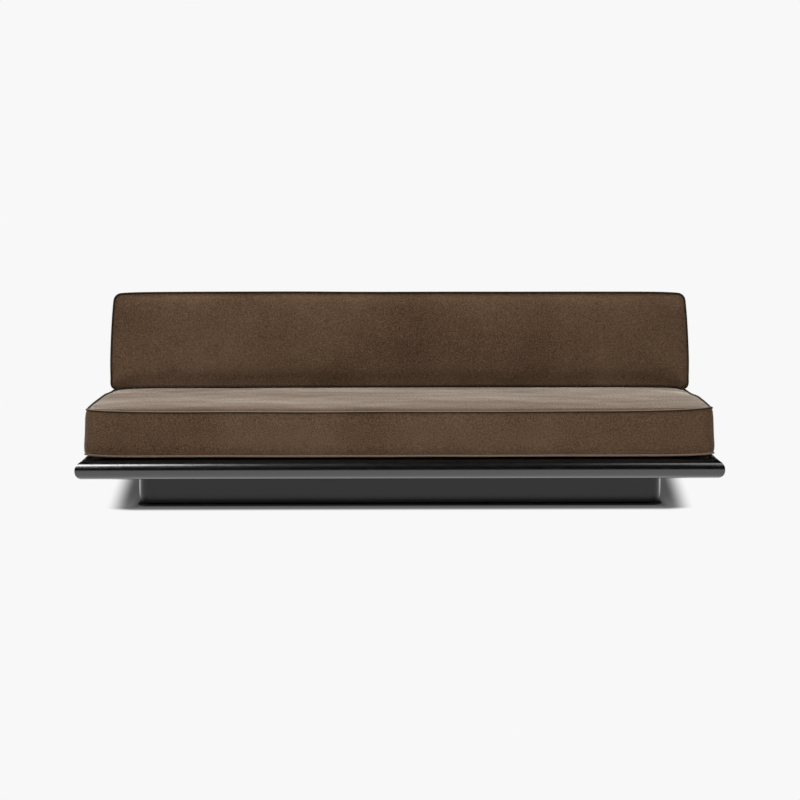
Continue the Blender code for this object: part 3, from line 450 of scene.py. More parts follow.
def loft(bm, rings, closed=False):
    """Skin between rings of points, capped at both ends unless it closes on itself."""
    rows = [[bm.verts.new(point) for point in ring] for ring in rings]
    count = len(rows[0])
    pairs = list(zip(rows, rows[1:]))
    if closed:
        pairs.append((rows[-1], rows[0]))
    for first, second in pairs:
        for k in range(count):
            n = (k + 1) % count
            bm.faces.new((first[k], first[n], second[n], second[k]))
    if not closed:
        bm.faces.new(reversed(rows[0]))
        bm.faces.new(rows[-1])


def skin(rings, smooth=35.0):
    """Capped mesh through rings of points."""
    bm = bmesh.new()
    loft(bm, rings)
    return mesh_of(bm, smooth)


def evenly(start, end, steps):
    """Values from a start to an end in even steps."""
    return [start + (end - start) * k / steps for k in range(steps + 1)]


def arc(centre, radius, start, end, steps):
    """Points of an arc between two angles in degrees."""
    angles = [math.radians(angle) for angle in evenly(start, end, steps)]
    return [(centre[0] + radius * math.cos(a), centre[1] + radius * math.sin(a)) for a in angles]


# Radius at which the ends of turned pieces close
TIP = 0.0002


def turned(profile, sides, hexagon=()):
    """Mesh turned about local Z from (radius, height) points, six-sided at rings in hexagon."""
    rings = []
    for number, (radius, height) in enumerate(profile):
        ring = []
        for k in range(sides):
            angle = 2 * math.pi * k / sides
            reach = radius
            if number in hexagon:
                reach *= math.cos(math.pi / 6) / math.cos(angle % (math.pi / 3) - math.pi / 6)
            ring.append((reach * math.cos(angle), reach * math.sin(angle), height))
        rings.append(ring)
    return skin(rings, 40.0)


def rounded_block(low, high, ease):
    """Box between two corners with rounded edges."""
    bm = bmesh.new()
    bmesh.ops.create_cube(bm, size=1.0)
    bmesh.ops.scale(bm, vec=high - low, verts=bm.verts)
    bmesh.ops.translate(bm, vec=(low + high) / 2, verts=bm.verts)
    edges = bm.edges[:]
    bmesh.ops.bevel(bm, geom=edges, offset=ease, segments=3, profile=0.5, affect="EDGES")
    return mesh_of(bm)


def local_box(node, matrix):
    """Lowest and highest corner of a CAD node in another frame."""
    turn = matrix.inverted()
    spots = np.array([turn @ v.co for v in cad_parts[node].data.vertices])
    return Vector(spots.min(0)), Vector(spots.max(0))


def line_mesh(points, closed=False):
    """Mesh of edges through some points."""
    count = len(points)
    edges = [(k, k + 1) for k in range(count - 1)]
    if closed:
        edges.append((count - 1, 0))
    mesh = bpy.data.meshes.new("line")
    mesh.from_pydata([tuple(point) for point in points], edges, [])
    return mesh


def join_meshes(meshes):
    """One mesh of several, with their shading kept."""
    bm = bmesh.new()
    for mesh in meshes:
        bm.from_mesh(mesh)
    joined = bpy.data.meshes.new("joined")
    bm.to_mesh(joined)
    bm.free()
    return joined


# Geometry trees


class Tree:
    """Geometry tree with named inputs, ending in real geometry with its material."""

    def __init__(self, name, **kinds):
        self.tree = bpy.data.node_groups.new(name, "GeometryNodeTree")
        face = self.tree.interface
        for label, kind in {"Geometry": "Geometry", **kinds, "Finish": "Material"}.items():
            face.new_socket(label, in_out="INPUT", socket_type=f"NodeSocket{kind}")
        face.new_socket("Geometry", in_out="OUTPUT", socket_type="NodeSocketGeometry")
        self.inputs = self.tree.nodes.new("NodeGroupInput").outputs

    def put(self, kind, sockets, output, **options):
        return put(self.tree, f"GeometryNode{kind}", sockets, **options).outputs[output]

    def curve(self):
        return self.put("MeshToCurve", {"Mesh": self.inputs["Geometry"]}, "Curve")

    def smooth(self, mesh):
        return self.put("SetShadeSmooth", {"Geometry": mesh}, "Geometry")

    def repeat(self, points, shape):
        sockets = {"Points": points, "Instance": shape, "Rotation": self.inputs["Turn"]}
        return self.put("InstanceOnPoints", sockets, "Instances")

    def close(self, geometry):
        real = self.put("RealizeInstances", {"Geometry": geometry}, "Geometry")
        sockets = {"Geometry": real, "Material": self.inputs["Finish"]}
        done = self.put("SetMaterial", sockets, "Geometry")
        put(self.tree, "NodeGroupOutput", {"Geometry": done})
        return self.tree


def cord_tree():
    """Round cord along a line of edges."""
    tree = Tree("cord", Radius="Float", Sides="Int")
    sockets = {"Radius": tree.inputs["Radius"], "Resolution": tree.inputs["Sides"]}
    ring = tree.put("CurvePrimitiveCircle", sockets, "Curve")
    sockets = {"Curve": tree.curve(), "Profile Curve": ring, "Fill Caps": True}
    return tree.close(tree.smooth(tree.put("CurveToMesh", sockets, "Mesh")))


def peg_tree():
    """Row of small round pegs at an even pitch along a line, such as zip teeth or stitches."""
    tree = Tree("pegs", Pitch="Float", Radius="Float", Length="Float", Turn="Vector")
    sockets = {"Curve": tree.curve(), "Length": tree.inputs["Pitch"]}
    points = tree.put("CurveToPoints", sockets, "Points", mode="LENGTH")
    sockets = {"Vertices": 8, "Radius": tree.inputs["Radius"], "Depth": tree.inputs["Length"]}
    peg = tree.smooth(tree.put("MeshCylinder", sockets, "Mesh"))
    return tree.close(tree.repeat(points, peg))


def fastener_tree():
    """One shape at each point, all turned the same way."""
    tree = Tree("fasteners", Shape="Object", Turn="Vector")
    shape = tree.put("ObjectInfo", {"Object": tree.inputs["Shape"]}, "Geometry")
    return tree.close(tree.repeat(tree.inputs["Geometry"], shape))


TREES = {}


def grow(maker, mesh, finish, **values):
    """Plain mesh that a tree makes from a mesh of points or edges, with a named finish."""
    if maker not in TREES:
        TREES[maker] = maker()
    tree = TREES[maker]
    values["Finish"] = finish_named(finish)
    source = bpy.data.objects.new("source", mesh)
    bpy.context.scene.collection.objects.link(source)
    modifier = source.modifiers.new(tree.name, "NODES")
    modifier.node_group = tree
    for item in tree.interface.items_tree:
        if item.in_out == "INPUT" and item.name in values:
            modifier[item.identifier] = values[item.name]
    graph = bpy.context.evaluated_depsgraph_get()
    made = bpy.data.meshes.new_from_object(source.evaluated_get(graph))
    bpy.data.objects.remove(source)
    return made


STITCH = 0.0004
ALONG_X = (0.0, math.pi / 2, 0.0)


def stitch_row(points, finish, span):
    """Stitches along a line that runs along X."""
    pitch = bpy.context.scene.sofa_base.stitch_pitch
    line = line_mesh(points)
    return grow(peg_tree, line, finish, Pitch=pitch, Radius=STITCH, Length=span, Turn=ALONG_X)


# Cushions

# Distance from the seam's corner and dip below the surface, in piping radii
SEAM_PROFILE = ((1.0, 1.0), (1.3, 0.72), (2.0, 0.30), (3.2, 0.08))
# Grid lines that turn with a corner, how far in they reach as a share of its radius, and the
# room between them and the even grid
CORNER_LINES = 6
CORNER_REACH = 0.88
CORNER_ROOM = 0.004
# Seed and waves per metre of the noise by which the seams wander, and its step between seams
WANDER_SEED = 5
WANDER_WAVES = 3.1
WANDER_STEP = 7.0
# Share of a panel's swelling that its seams hold back, and how fast that fades inwards
SEAM_HOLD = 0.55
SEAM_FADE = 0.05
# How soon the swelling nears its cap
SWELL_GAIN = 1.6
# Waves per metre of slow dents and of puckers, and where from the seam the puckers lie
DENT_WAVES = (2.7, 9.0)
DENT_SHARE = 0.4
PUCKER_WAVES = (38.0, 85.0)
PUCKER_PLACE = 0.014
PUCKER_REACH = 0.010
# How deep the piping sits in its seam, as a share of its radius
PIPING_SINK = 0.3


class BoxCushion:
    """Quad grid of a piped box cushion in local a (along), b (across) and c (through)."""

    def __init__(self, look, size, hang, place, seed):
        self.look = look
        self.size = Vector(size)
        self.hang = hang
        self.place = place
        self.seed = seed
        r = look.cord_radius
        self.near = [r * reach for reach, _ in SEAM_PROFILE]
        last = look.corner_radius * CORNER_REACH
        self.near += [self.near[-1] + (last - self.near[-1]) * k / 2 for k in (1, 2)]
        self.dips = [r * dip for _, dip in SEAM_PROFILE] + [0.0, 0.0]
        self.lines_a = self.lines(self.size.x)
        self.lines_b = self.lines(self.size.y)
        self.n = len(self.lines_a) - 1
        self.m = len(self.lines_b) - 1
        self.levels = self.wall_levels()
        self.edge = self.walk()
        self.build()

    def lines(self, span):
        """Offsets of the grid's lines from edge to edge, close together along the seams."""
        start = self.look.corner_radius + CORNER_ROOM
        count = max(2, round((span - 2 * start) / self.look.grid))
        inner = [start + (span - 2 * start) * k / count for k in range(count + 1)]
        return [*self.near, *inner, *(span - x for x in reversed(self.near))]

    def wall_levels(self):
        """Heights of the wall's rows, each with its dip."""
        height = self.size.z
        low = list(zip(self.near, self.dips))[: len(SEAM_PROFILE)]
        start = low[-1][0]
        count = max(2, round((height - 2 * start) / self.look.grid))
        inner = [(start + (height - 2 * start) * k / count, 0.0) for k in range(1, count)]
        return [*low, *inner, *((height - c, dip) for c, dip in reversed(low))]

    def walk(self):
        """Grid places once round the edge, seen anticlockwise from above."""
        n = self.n
        m = self.m
        front = [(i, 0) for i in range(n)]
        right = [(n, j) for j in range(m)]
        rear = [(i, m) for i in range(n, 0, -1)]
        left = [(0, j) for j in range(m, 0, -1)]
        return [*front, *right, *rear, *left]

    def plan(self, i, j, inset):
        """Place in a and b of a grid line crossing, with its ring at an inset from the edge."""
        half_a = self.size.x / 2
        half_b = self.size.y / 2
        near_a = min(i, self.n - i)
        near_b = min(j, self.m - j)
        side_a = -1.0 if i < self.n - i else 1.0
        side_b = -1.0 if j < self.m - j else 1.0
        if near_a < CORNER_LINES and near_b < CORNER_LINES:
            ring = min(near_a, near_b)
            swing = 45.0 * (max(near_a, near_b) - ring) / (CORNER_LINES - ring)
            angle = math.radians(45.0 - swing if near_a <= near_b else 45.0 + swing)
            radius = self.look.corner_radius
            a = half_a - radius + (radius - inset) * math.cos(angle)
            b = half_b - radius + (radius - inset) * math.sin(angle)
            return side_a * a, side_b * b
        a = self.lines_a[i] - half_a
        b = self.lines_b[j] - half_b
        if near_a < CORNER_LINES:
            a = side_a * (half_a - inset)
        if near_b < CORNER_LINES:
            b = side_b * (half_b - inset)
        return a, b

    def build(self):
        """Points and faces of the closed cover, with a part name for each point."""
        points = []
        parts = []
        reach = []
        index = {}

        def add(key, spot, part, far):
            index[key] = len(points)
            points.append(spot)
            parts.append(part)
            reach.append(far)

        for i in range(self.n + 1):
            for j in range(self.m + 1):
                ring = min(i, self.n - i, j, self.m - j)
                inset = self.near[ring] if ring < CORNER_LINES else 0.0
                dip = self.dips[ring] if ring < CORNER_LINES else 0.0
                a, b = self.plan(i, j, inset)
                far = min(self.size.x / 2 - abs(a), self.size.y / 2 - abs(b))
                for part, c in (("base", dip), ("top", self.size.z - dip)):
                    add((part, i, j), (a, b, c), "held" if ring < 2 else part, far)
        last = len(self.levels) - 1
        for level, (c, dip) in enumerate(self.levels):
            for spot, (i, j) in enumerate(self.edge):
                if level in (0, last):
                    index["wall", level, spot] = index["base" if level == 0 else "top", i, j]
                    continue
                part = "held" if level in (1, last - 1) else "wall"
                far = min(c, self.size.z - c)
                add(("wall", level, spot), (*self.plan(i, j, dip), c), part, far)
        faces = []
        for i in range(self.n):
            for j in range(self.m):
                corners = ((i, j), (i + 1, j), (i + 1, j + 1), (i, j + 1))
                faces.append([index["top", *spot] for spot in corners])
                faces.append([index["base", *spot] for spot in reversed(corners)])
        count = len(self.edge)
        for level in range(last):
            for spot in range(count):
                after = (spot + 1) % count
                corners = ((level, spot), (level, after), (level + 1, after), (level + 1, spot))
                faces.append([index["wall", *place] for place in corners])
        self.points = np.array(points)
        self.parts = np.array(parts)
        self.reach = np.array(reach)
        self.faces = faces
        self.index = index

    def drape(self, spots):
        """Places of straight points on the sewn cover, with seams that wander a little."""
        noise.seed_set(WANDER_SEED)
        out = []
        for a, b, c in spots:
            step = WANDER_STEP * round(c / self.size.z) + self.seed
            sway = noise.noise_vector(Vector((a * WANDER_WAVES, b * WANDER_WAVES, step)))
            sway *= self.look.seam_wander
            a, b, c, free = self.hang(a, b, c)
            out.append(self.place(a, b + sway.y * free, c + sway.z * free))
        return np.array(out)

    def settle(self, name, **caps):
        """Points of the filled cover in place, with swelling held to each part's cap."""
        base = self.drape(self.points)
        cap = np.array([caps.get(part, 0.0) for part in self.parts])
        eased = cap * (1 - SEAM_HOLD * np.exp(-self.reach / SEAM_FADE))
        cap = np.where(self.parts == "wall", cap, eased)
        swell = self.inflate(name, base) - base
        reach = np.linalg.norm(swell, axis=1)
        limit = np.maximum(cap, 1e-6)
        held = limit * np.tanh(SWELL_GAIN * reach / limit)
        scale = np.divide(held, reach, out=np.zeros_like(reach), where=reach > 1e-9)
        return self.uneven(base + swell * scale[:, None])

    def inflate(self, name, base):
        """Cloth under the filling's pressure, sewn down along the seams."""
        mesh = bpy.data.meshes.new(name)
        mesh.from_pydata(base.tolist(), [], self.faces)
        cover = bpy.data.objects.new(name, mesh)
        bpy.context.scene.collection.objects.link(cover)
        sewn = cover.vertex_groups.new(name="sewn")
        sewn.add(np.flatnonzero(self.parts == "held").tolist(), 1.0, "REPLACE")
        cloth = cover.modifiers.new("filling", "CLOTH")
        settings = cloth.settings
        settings.quality = 4
        settings.mass = 0.4
        settings.tension_stiffness = 20.0
        settings.compression_stiffness = 20.0
        settings.shear_stiffness = 8.0
        settings.bending_stiffness = 1.0
        settings.shrink_min = -0.004
        settings.vertex_group_mass = "sewn"
        settings.use_pressure = True
        settings.uniform_pressure_force = self.look.pressure
        settings.effector_weights.gravity = 0.0
        cloth.collision_settings.use_collision = False
        scene = bpy.context.scene
        for step in range(1, self.look.steps + 1):
            scene.frame_set(step)
        graph = bpy.context.evaluated_depsgraph_get()
        filled = cover.evaluated_get(graph).to_mesh()
        spots = np.empty(len(filled.vertices) * 3)
        filled.vertices.foreach_get("co", spots)
        bpy.data.objects.remove(cover)
        scene.frame_set(1)
        return spots.reshape(-1, 3)

    def mesh(self, spots):
        made = bpy.data.meshes.new("cover")
        made.from_pydata(spots.tolist(), [], self.faces)
        made.shade_smooth()
        return made

    def uneven(self, spots):
        """Top and walls moved along their normals by slow dents and by puckers at the seams."""
        draft = self.mesh(spots)
        ways = np.empty(len(spots) * 3)
        draft.vertices.foreach_get("normal", ways)
        bpy.data.meshes.remove(draft)
        heights = []
        for spot, far in zip(spots, self.reach):
            place = Vector(spot) + Vector((self.seed, 0.0, 0.0))
            slow, slight = (noise.noise(place * waves) for waves in DENT_WAVES)
            tight = sum(noise.noise(place * waves) for waves in PUCKER_WAVES)
            dent = self.look.dents * (slow + DENT_SHARE * slight) * (1 - math.exp(-far / SEAM_FADE))
            near = math.exp(-(((far - PUCKER_PLACE) / PUCKER_REACH) ** 2))
            heights.append(dent - self.look.puckers * abs(tight) * near)
        moved = np.isin(self.parts, ("top", "wall"))
        return spots + ways.reshape(-1, 3) * (np.array(heights) * moved)[:, None]

    def seam(self, level, tuck=0.0):
        """Points once round a seam, in the middle of its piping, tucked in at the front corners."""
        radius = self.look.cord_radius
        sink = PIPING_SINK * radius
        c = sink if level == 0 else self.size.z - sink
        spots = []
        for i, j in self.edge:
            end = max(0.0, 1 - min(i, self.n - i) / CORNER_LINES)
            end *= max(0.0, 1 - j / (2 * CORNER_LINES))
            spots.append((*self.plan(i, j, sink + tuck * radius * end), c))
        return self.drape(spots)

    def rear_row(self):
        """Point numbers along the middle of the rear wall."""
        level = len(self.levels) // 2
        found = [(i, spot) for spot, (i, j) in enumerate(self.edge) if j == self.m]
        return [self.index["wall", level, spot] for _, spot in sorted(found)]


def smooth_step(value):
    """Ease from 0 to 1."""
    value = min(1.0, max(0.0, value))
    return value * value * (3 - 2 * value)


def bell(value, width):
    return math.exp(-((value / width) ** 2))


# The seat's ends bow out most this far ahead of its middle
BOW_AHEAD = 0.1
# Reach of the front corners' rise and lift from the front seam
CORNER_RUN = 0.06
# Where the seat's left and right ends start to sink under the back, and over what run
LEFT_DROP = (0.08, 0.16)
RIGHT_DROP = (-0.02, 0.2)
# The seat's right end against its left: a higher front corner, a deeper rear and a shorter end
RIGHT_RISE = 2.1
RIGHT_SINK = 1.35
RIGHT_TRIM = 0.003
# Height over which the seat's ends spread, as a share of the wall
BULGE_REACH = 0.35


def cushion_seat(look):
    """Seat cushion with its place in the packed model."""
    low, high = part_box("seat_bottom_piping")
    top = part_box("seat_top_piping")[0].z
    r = look.cord_radius
    base_z = low.z + r
    top_z = top + r
    size = (high.x - low.x - 2 * r, high.y - low.y - 2 * r, top_z - base_z)
    origin = Vector((0.0, (low.y + high.y) / 2, base_z))
    half = Vector(size) / 2

    def hang(a, b, c):
        right = a > 0
        u = min(1.0, abs(a) / half.x)
        v = (b + BOW_AHEAD) / (half.y + BOW_AHEAD if b > -BOW_AHEAD else half.y - BOW_AHEAD)
        w = c / size[2]
        front = smooth_step((CORNER_RUN - half.y - b) / CORNER_RUN)
        slope = max(0.0, 1 - (b + half.y) / look.sag_reach) ** 2
        start, run = RIGHT_DROP if right else LEFT_DROP
        rear = smooth_step((b - start) / run)
        corner = u**10
        bulge = look.wall_bulge * bell(w, BULGE_REACH)
        bow = (look.seat_bow * (1 - min(1.0, v * v)) + bulge) * u**4
        a += math.copysign(bow, a) - (RIGHT_TRIM if right else 0.0) * u**4
        rise = front * (RIGHT_RISE if right else 1.0) * look.corner_rise * corner
        c += w * (rise - slope * look.front_sag * (1 - corner))
        c += (1 - w) * front * look.corner_lift * u**18
        c -= w * rear * (RIGHT_SINK if right else 1.0) * look.rear_drop * u**16
        return a, b, c, 1.0

    def place(a, b, c):
        return origin + Vector((a, b, c))

    return BoxCushion(look, size, hang, place, seed=3.0)


# Depth below the seat's level and width along the sofa in which its made surface is looked for
SEARCH_DEPTH = 0.03
SEARCH_WIDTH = 0.012
SEARCH_MARKS = 239


def seat_line():
    """Height of the made seat under the back cushion, as a function of the place along it."""
    cover = bpy.data.objects.get("seat_cushion_cover")
    if cover is None:
        raise RuntimeError("Make the seat cushion before the back cushion")
    spots = np.array([v.co for v in cover.data.vertices])
    low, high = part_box("back_cover")
    under = (spots[:, 1] > low.y) & (spots[:, 1] < high.y)
    under = spots[under & (spots[:, 2] > SEAT_LEVEL - SEARCH_DEPTH)]
    marks = np.linspace(-HALF_WIDTH, HALF_WIDTH, SEARCH_MARKS)
    nearest = np.abs(under[:, 0][:, None] - marks[None, :]) < SEARCH_WIDTH
    heights = np.where(nearest, under[:, 2][:, None], 0.0).max(0)
    known = heights > 0
    return lambda x: np.interp(x, marks[known], heights[known])


# The back's ends bow out most at this share of its height
BOW_HEIGHT = 0.33
# Heights over which the back's lower corners fill out, its front seam rolls under, its seams lie
# straight, and its foot follows the seat
FILL_HEIGHT = 0.022
ROLL_HEIGHT = 0.014
STRAIGHT_HEIGHT = 0.03
FOOT_HEIGHT = 0.05
# How far the back's ends draw in at the top, and the lower corners' drop as a share of their fill
HEAD_TRIM = 0.002
FOOT_DROP = 0.7


def cushion_back(look):
    """Back cushion between its rear and front seams in the packed model."""
    r = look.cord_radius

    def seam_ends(node):
        low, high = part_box(node)
        return Vector((low.y + r, low.z + r)), Vector((high.y - r, high.z - r))

    rear = seam_ends("back_rear_piping")
    front = seam_ends("back_front_piping")
    height = ((rear[1] - rear[0]) + (front[1] - front[0])).length / 2
    thickness = ((front[0] - rear[0]) + (front[1] - rear[1])).length / 2
    front_low, front_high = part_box("back_front_piping")
    width = front_high.x - front_low.x - 2 * r
    below = seat_line()

    def hang(a, b, c):
        u = min(1.0, abs(a) * 2 / width)
        up = b + height / 2
        v = up / height - BOW_HEIGHT
        v = min(1.0, abs(v) / (1 - BOW_HEIGHT if v > 0 else BOW_HEIGHT))
        head = (up / height) ** 6
        foot = look.foot_fill * bell(up, FILL_HEIGHT) * u**60
        b -= look.back_tilt * (a * 2 / width) * up / height
        b -= look.shoulder * head * u**20 + FOOT_DROP * foot
        bow = (look.back_bow * (1 - v * v) - HEAD_TRIM * head) * u**4
        a += math.copysign(bow + foot, a)
        c -= look.roll_under * bell(up, ROLL_HEIGHT) * c / thickness
        return a, b, c, 1 - bell(up, STRAIGHT_HEIGHT)

    def place(a, b, c):
        up = b / height + 0.5
        spot = rear[0].lerp(rear[1], up).lerp(front[0].lerp(front[1], up), c / thickness)
        drop = (SEAT_LEVEL - float(below(a))) * math.exp(-up * height / FOOT_HEIGHT)
        return Vector((a, spot.x, spot.y - drop))

    return BoxCushion(look, (width, height, thickness), hang, place, seed=11.0)


# Radius of the made piping as a share of its radius in the cloth, and its sides
PIPING_SHARE = 0.92
PIPING_SIDES = 14
# Depth of the front run that may carry painted light, and where across the cord the painted light
# starts and ends
PAINTED_LIGHT_DEPTH = 0.012
PAINTED_LIGHT_FROM = 0.25
PAINTED_LIGHT_RUN = 0.5


def add_piping(name, points, body, node, finish="piping", painted_light=False):
    """Piping along a seam. Along the front its upper half may be painted pale, as painted light
    from above.
    """
    radius = PIPING_SHARE * bpy.context.scene.sofa_cushions.cord_radius
    line = line_mesh(points, closed=True)
    bm = bmesh.new()
    bm.from_mesh(grow(cord_tree, line, finish, Radius=radius, Sides=PIPING_SIDES))
    mesh = mesh_of(bm, 60.0)
    # Share of painted light from above on the cord's upper half along the front run
    if painted_light:
        front = points[:, 1].min() + PAINTED_LIGHT_DEPTH
        run = points[points[:, 1] < front]
        run = run[np.argsort(run[:, 0])]
        spots = np.array([v.co for v in mesh.vertices])
        height = (spots[:, 2] - np.interp(spots[:, 0], run[:, 0], run[:, 2])) / radius
        share = np.clip((height - PAINTED_LIGHT_FROM) / PAINTED_LIGHT_RUN, 0.0, 1.0) * (spots[:, 1] < front)
        mesh.attributes.new("painted_light", "FLOAT", "POINT").data.foreach_set("value", share)
    add_piece(name, mesh, finish, body, "suede", node)


# Half length and half width of a zip slider, and the rounding of its body's edges
SLIDER_HALF_LENGTH = 0.007
SLIDER_HALF_WIDTH = 0.0048
SLIDER_EASE = 0.0006
# Place of the pull tab's round end and its radius
TAB_END = -0.031
TAB_RADIUS = 0.0024


def slider_mesh():
    """Zip slider with its bridge and a holed pull tab, along local -X and thick in local Y."""
    bm = bmesh.new()
    body = [(SLIDER_HALF_LENGTH, 0.0024), (0.001, SLIDER_HALF_WIDTH)]
    body += [(-0.0055, 0.0046), (-SLIDER_HALF_LENGTH, 0.0036)]
    outline = body + [(x, -z) for x, z in reversed(body)]
    rings = []
    for y, inset in ((-0.0014, SLIDER_EASE), (-0.0009, 0.0), (0.0001, 0.0), (0.0006, SLIDER_EASE)):
        along = 1 - inset / SLIDER_HALF_LENGTH
        across = 1 - inset / SLIDER_HALF_WIDTH
        rings.append([(x * along, y, z * across) for x, z in outline])
    loft(bm, rings)
    section = ((-0.0004, -0.001), (-0.0004, 0.001), (0.0002, 0.001), (0.0002, -0.001))
    bridge = arc((-0.0005, 0.0003), 0.0036, 0.0, 180.0, 10)
    loft(bm, [[(x, min(y, 0.0013) + dy, dz) for dy, dz in section] for x, y in bridge])
    end = arc((TAB_END, 0.0), TAB_RADIUS, 90.0, 270.0, 10)
    outer = [(-0.004, 0.0016), (-0.010, 0.0017), *end, (-0.010, -0.0017), (-0.004, -0.0016)]
    hole = [(-0.029 + 0.45 * (x - TAB_END), 0.5 * z) for x, z in end]
    inner = [(-0.006, 0.0007), (-0.010, 0.0008), *hole, (-0.010, -0.0008), (-0.006, -0.0007)]
    under, over = 0.0004, 0.0015
    frames = []
    for line, y in ((outer, under), (outer, over), (inner, over), (inner, under)):
        frames.append([(x, y, z) for x, z in line])
    loft(bm, frames, closed=True)
    return mesh_of(bm, 40.0)


# Inner and outer edge of a zip's tape and lip from its middle, and the lift and rise of each
TAPE = (0.0004, 0.0062, -0.0008, 0.0012)
LIP = (0.0052, 0.0125, -0.0006, 0.0017)
# Radius, length and lift of the teeth, and place, length and lift of the lips' stitches
TOOTH_RADIUS = 0.0008
TOOTH_LENGTH = 0.0046
TOOTH_LIFT = 0.0007
LIP_STITCH = 0.0095
LIP_STITCH_LENGTH = 0.0030
LIP_STITCH_LIFT = 0.0011
# Room for the zip's teeth between the seat's rear wall and its slider
ZIP_ROOM = 0.0018


def add_zip(points, across, out, prefix, turn):
    """Zip along some points: two tapes, teeth, cloth lips with stitches, and a slider."""
    body = f"{prefix}_cushion"

    def strips(inner, outer, lift, rise):
        """Flat rounded strip on either side of the zip."""
        for low, high in ((-outer, -inner), (inner, outer)):
            section = [(low, lift), (low, lift + rise * 0.6), (low + rise * 0.5, lift + rise)]
            section += [(high - rise * 0.5, lift + rise), (high, lift + rise * 0.6), (high, lift)]
            yield skin([[p + across * s + out * h for s, h in section] for p in points], 50.0)

    teeth = grow(
        peg_tree,
        line_mesh([point + out * TOOTH_LIFT for point in points]),
        "zip_tape",
        Pitch=bpy.context.scene.sofa_base.zip_pitch,
        Radius=TOOTH_RADIUS,
        Length=TOOTH_LENGTH,
        Turn=(math.atan2(-across.y, across.z), 0.0, 0.0),
    )
    mesh = join_meshes([*strips(*TAPE), teeth])
    add_piece(f"{prefix}_zip_teeth", mesh, "zip_tape", body, "tape", f"{prefix}_zip")
    lips = list(strips(*LIP))
    for side in (-LIP_STITCH, LIP_STITCH):
        row = [point + across * side + out * LIP_STITCH_LIFT for point in points]
        lips.append(stitch_row(row, "suede", LIP_STITCH_LENGTH))
    add_piece(f"{prefix}_zip_lips", join_meshes(lips), "suede", body, "suede")
    node = f"{prefix}_zip_slider"
    low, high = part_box(node)
    spot = ((low.y + high.y) / 2, (low.z + high.z) / 2)
    slider = slider_mesh()
    slider.transform(Matrix.Translation((high.x - SLIDER_HALF_LENGTH, *spot)) @ turn)
    add_piece(f"{prefix}_zip_pull", slider, "zinc", f"{prefix}_slider", "zinc_steel", node)


# How far ahead of the back cushion the seat is kept down to its level
SEAT_AHEAD = 0.02


class SOFA_OT_seat_cushion(bpy.types.Operator):
    """Make the seat cushion: filled cover, piping, zip and slider"""

    bl_idname = "sofa.seat_cushion"
    bl_label = "Seat cushion"

    def execute(self, context):
        look = context.scene.sofa_cushions
        body = "seat_cushion"
        cushion = cushion_seat(look)
        caps = {"top": look.seat_crown, "base": look.seat_base, "wall": look.wall_fill}
        spots = cushion.settle("seat_filling", **caps)
        spots[:, 2] = np.clip(spots[:, 2], MAT_TOP + CLEAR / 2, None)
        under = spots[:, 1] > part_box("back_front_piping")[0].y - SEAT_AHEAD
        spots[under, 2] = np.minimum(spots[under, 2], SEAT_LEVEL)
        spots[:, 1] = np.minimum(spots[:, 1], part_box("seat_zip_slider")[0].y - ZIP_ROOM)
        mesh = cushion.mesh(spots)
        cover = add_piece(
            "seat_cushion_cover", mesh, "suede", body, "suede", "seat_cover", "seat_foam"
        )
        seam = cushion.seam(0, tuck=0.8)
        add_piping("seat_piping_bottom", seam, body, "seat_bottom_piping", "lower_piping")
        seam = cushion.seam(1, tuck=0.6)
        add_piping("seat_piping_top", seam, body, "seat_top_piping", painted_light=True)
        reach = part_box("seat_zip")[1].x
        points = [Vector(spots[k]) for k in cushion.rear_row() if abs(spots[k][0]) < reach]
        add_zip(points, Vector((0.0, 0.0, 1.0)), Vector((0.0, 1.0, 0.0)), "seat", Matrix())
        return {"FINISHED"}


# How far the back's zip sits in, and its steps along the cushion
BACK_ZIP_SINK = 0.0002
BACK_ZIP_STEPS = 40


class SOFA_OT_back_cushion(bpy.types.Operator):
    """Make the back cushion: filled cover, piping, zip and slider"""

    bl_idname = "sofa.back_cushion"
    bl_label = "Back cushion"

    def execute(self, context):
        look = context.scene.sofa_cushions
        body = "back_cushion"
        cushion = cushion_back(look)
        caps = {"top": look.back_crown, "base": look.back_rear, "wall": look.wall_fill}
        spots = cushion.settle("back_filling", **caps)
        spots[:, 2] = np.maximum(spots[:, 2], seat_line()(spots[:, 0]) + CLEAR)
        mesh = cushion.mesh(spots)
        cover = add_piece(
            "back_cushion_cover", mesh, "suede", body, "suede", "back_cover", "back_foam"
        )
        add_piping("back_piping_rear", cushion.seam(0), body, "back_rear_piping")
        add_piping("back_piping_front", cushion.seam(1), body, "back_front_piping")
        low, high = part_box("back_zip")
        up = Vector((0.0, math.sin(RECLINE), math.cos(RECLINE)))
        out = Vector((0.0, math.cos(RECLINE), -math.sin(RECLINE)))
        middle = Vector((0.0, (low.y + high.y) / 2, (low.z + high.z) / 2)) - out * BACK_ZIP_SINK
        places = evenly(-high.x, high.x, BACK_ZIP_STEPS)
        points = [middle + Vector((x, 0.0, 0.0)) for x in places]
        add_zip(points, up, out, "back", LEAN)
        return {"FINISHED"}


# Platform and plinth

RAILS = {
    "platform_front_rail": (2 * HALF_WIDTH, HALF_DEPTH, 0.0),
    "platform_right_rail": (2 * HALF_DEPTH, HALF_WIDTH, 90.0),
    "platform_rear_rail": (2 * HALF_WIDTH, HALF_DEPTH, 180.0),
    "platform_left_rail": (2 * HALF_DEPTH, HALF_WIDTH, 270.0),
}
# Steps of a rail's eased corner and of its length, and the run over which its mitre draws in
CORNER_STEPS = 6
RAIL_STEPS = 10
MITRE_RUN = 0.004


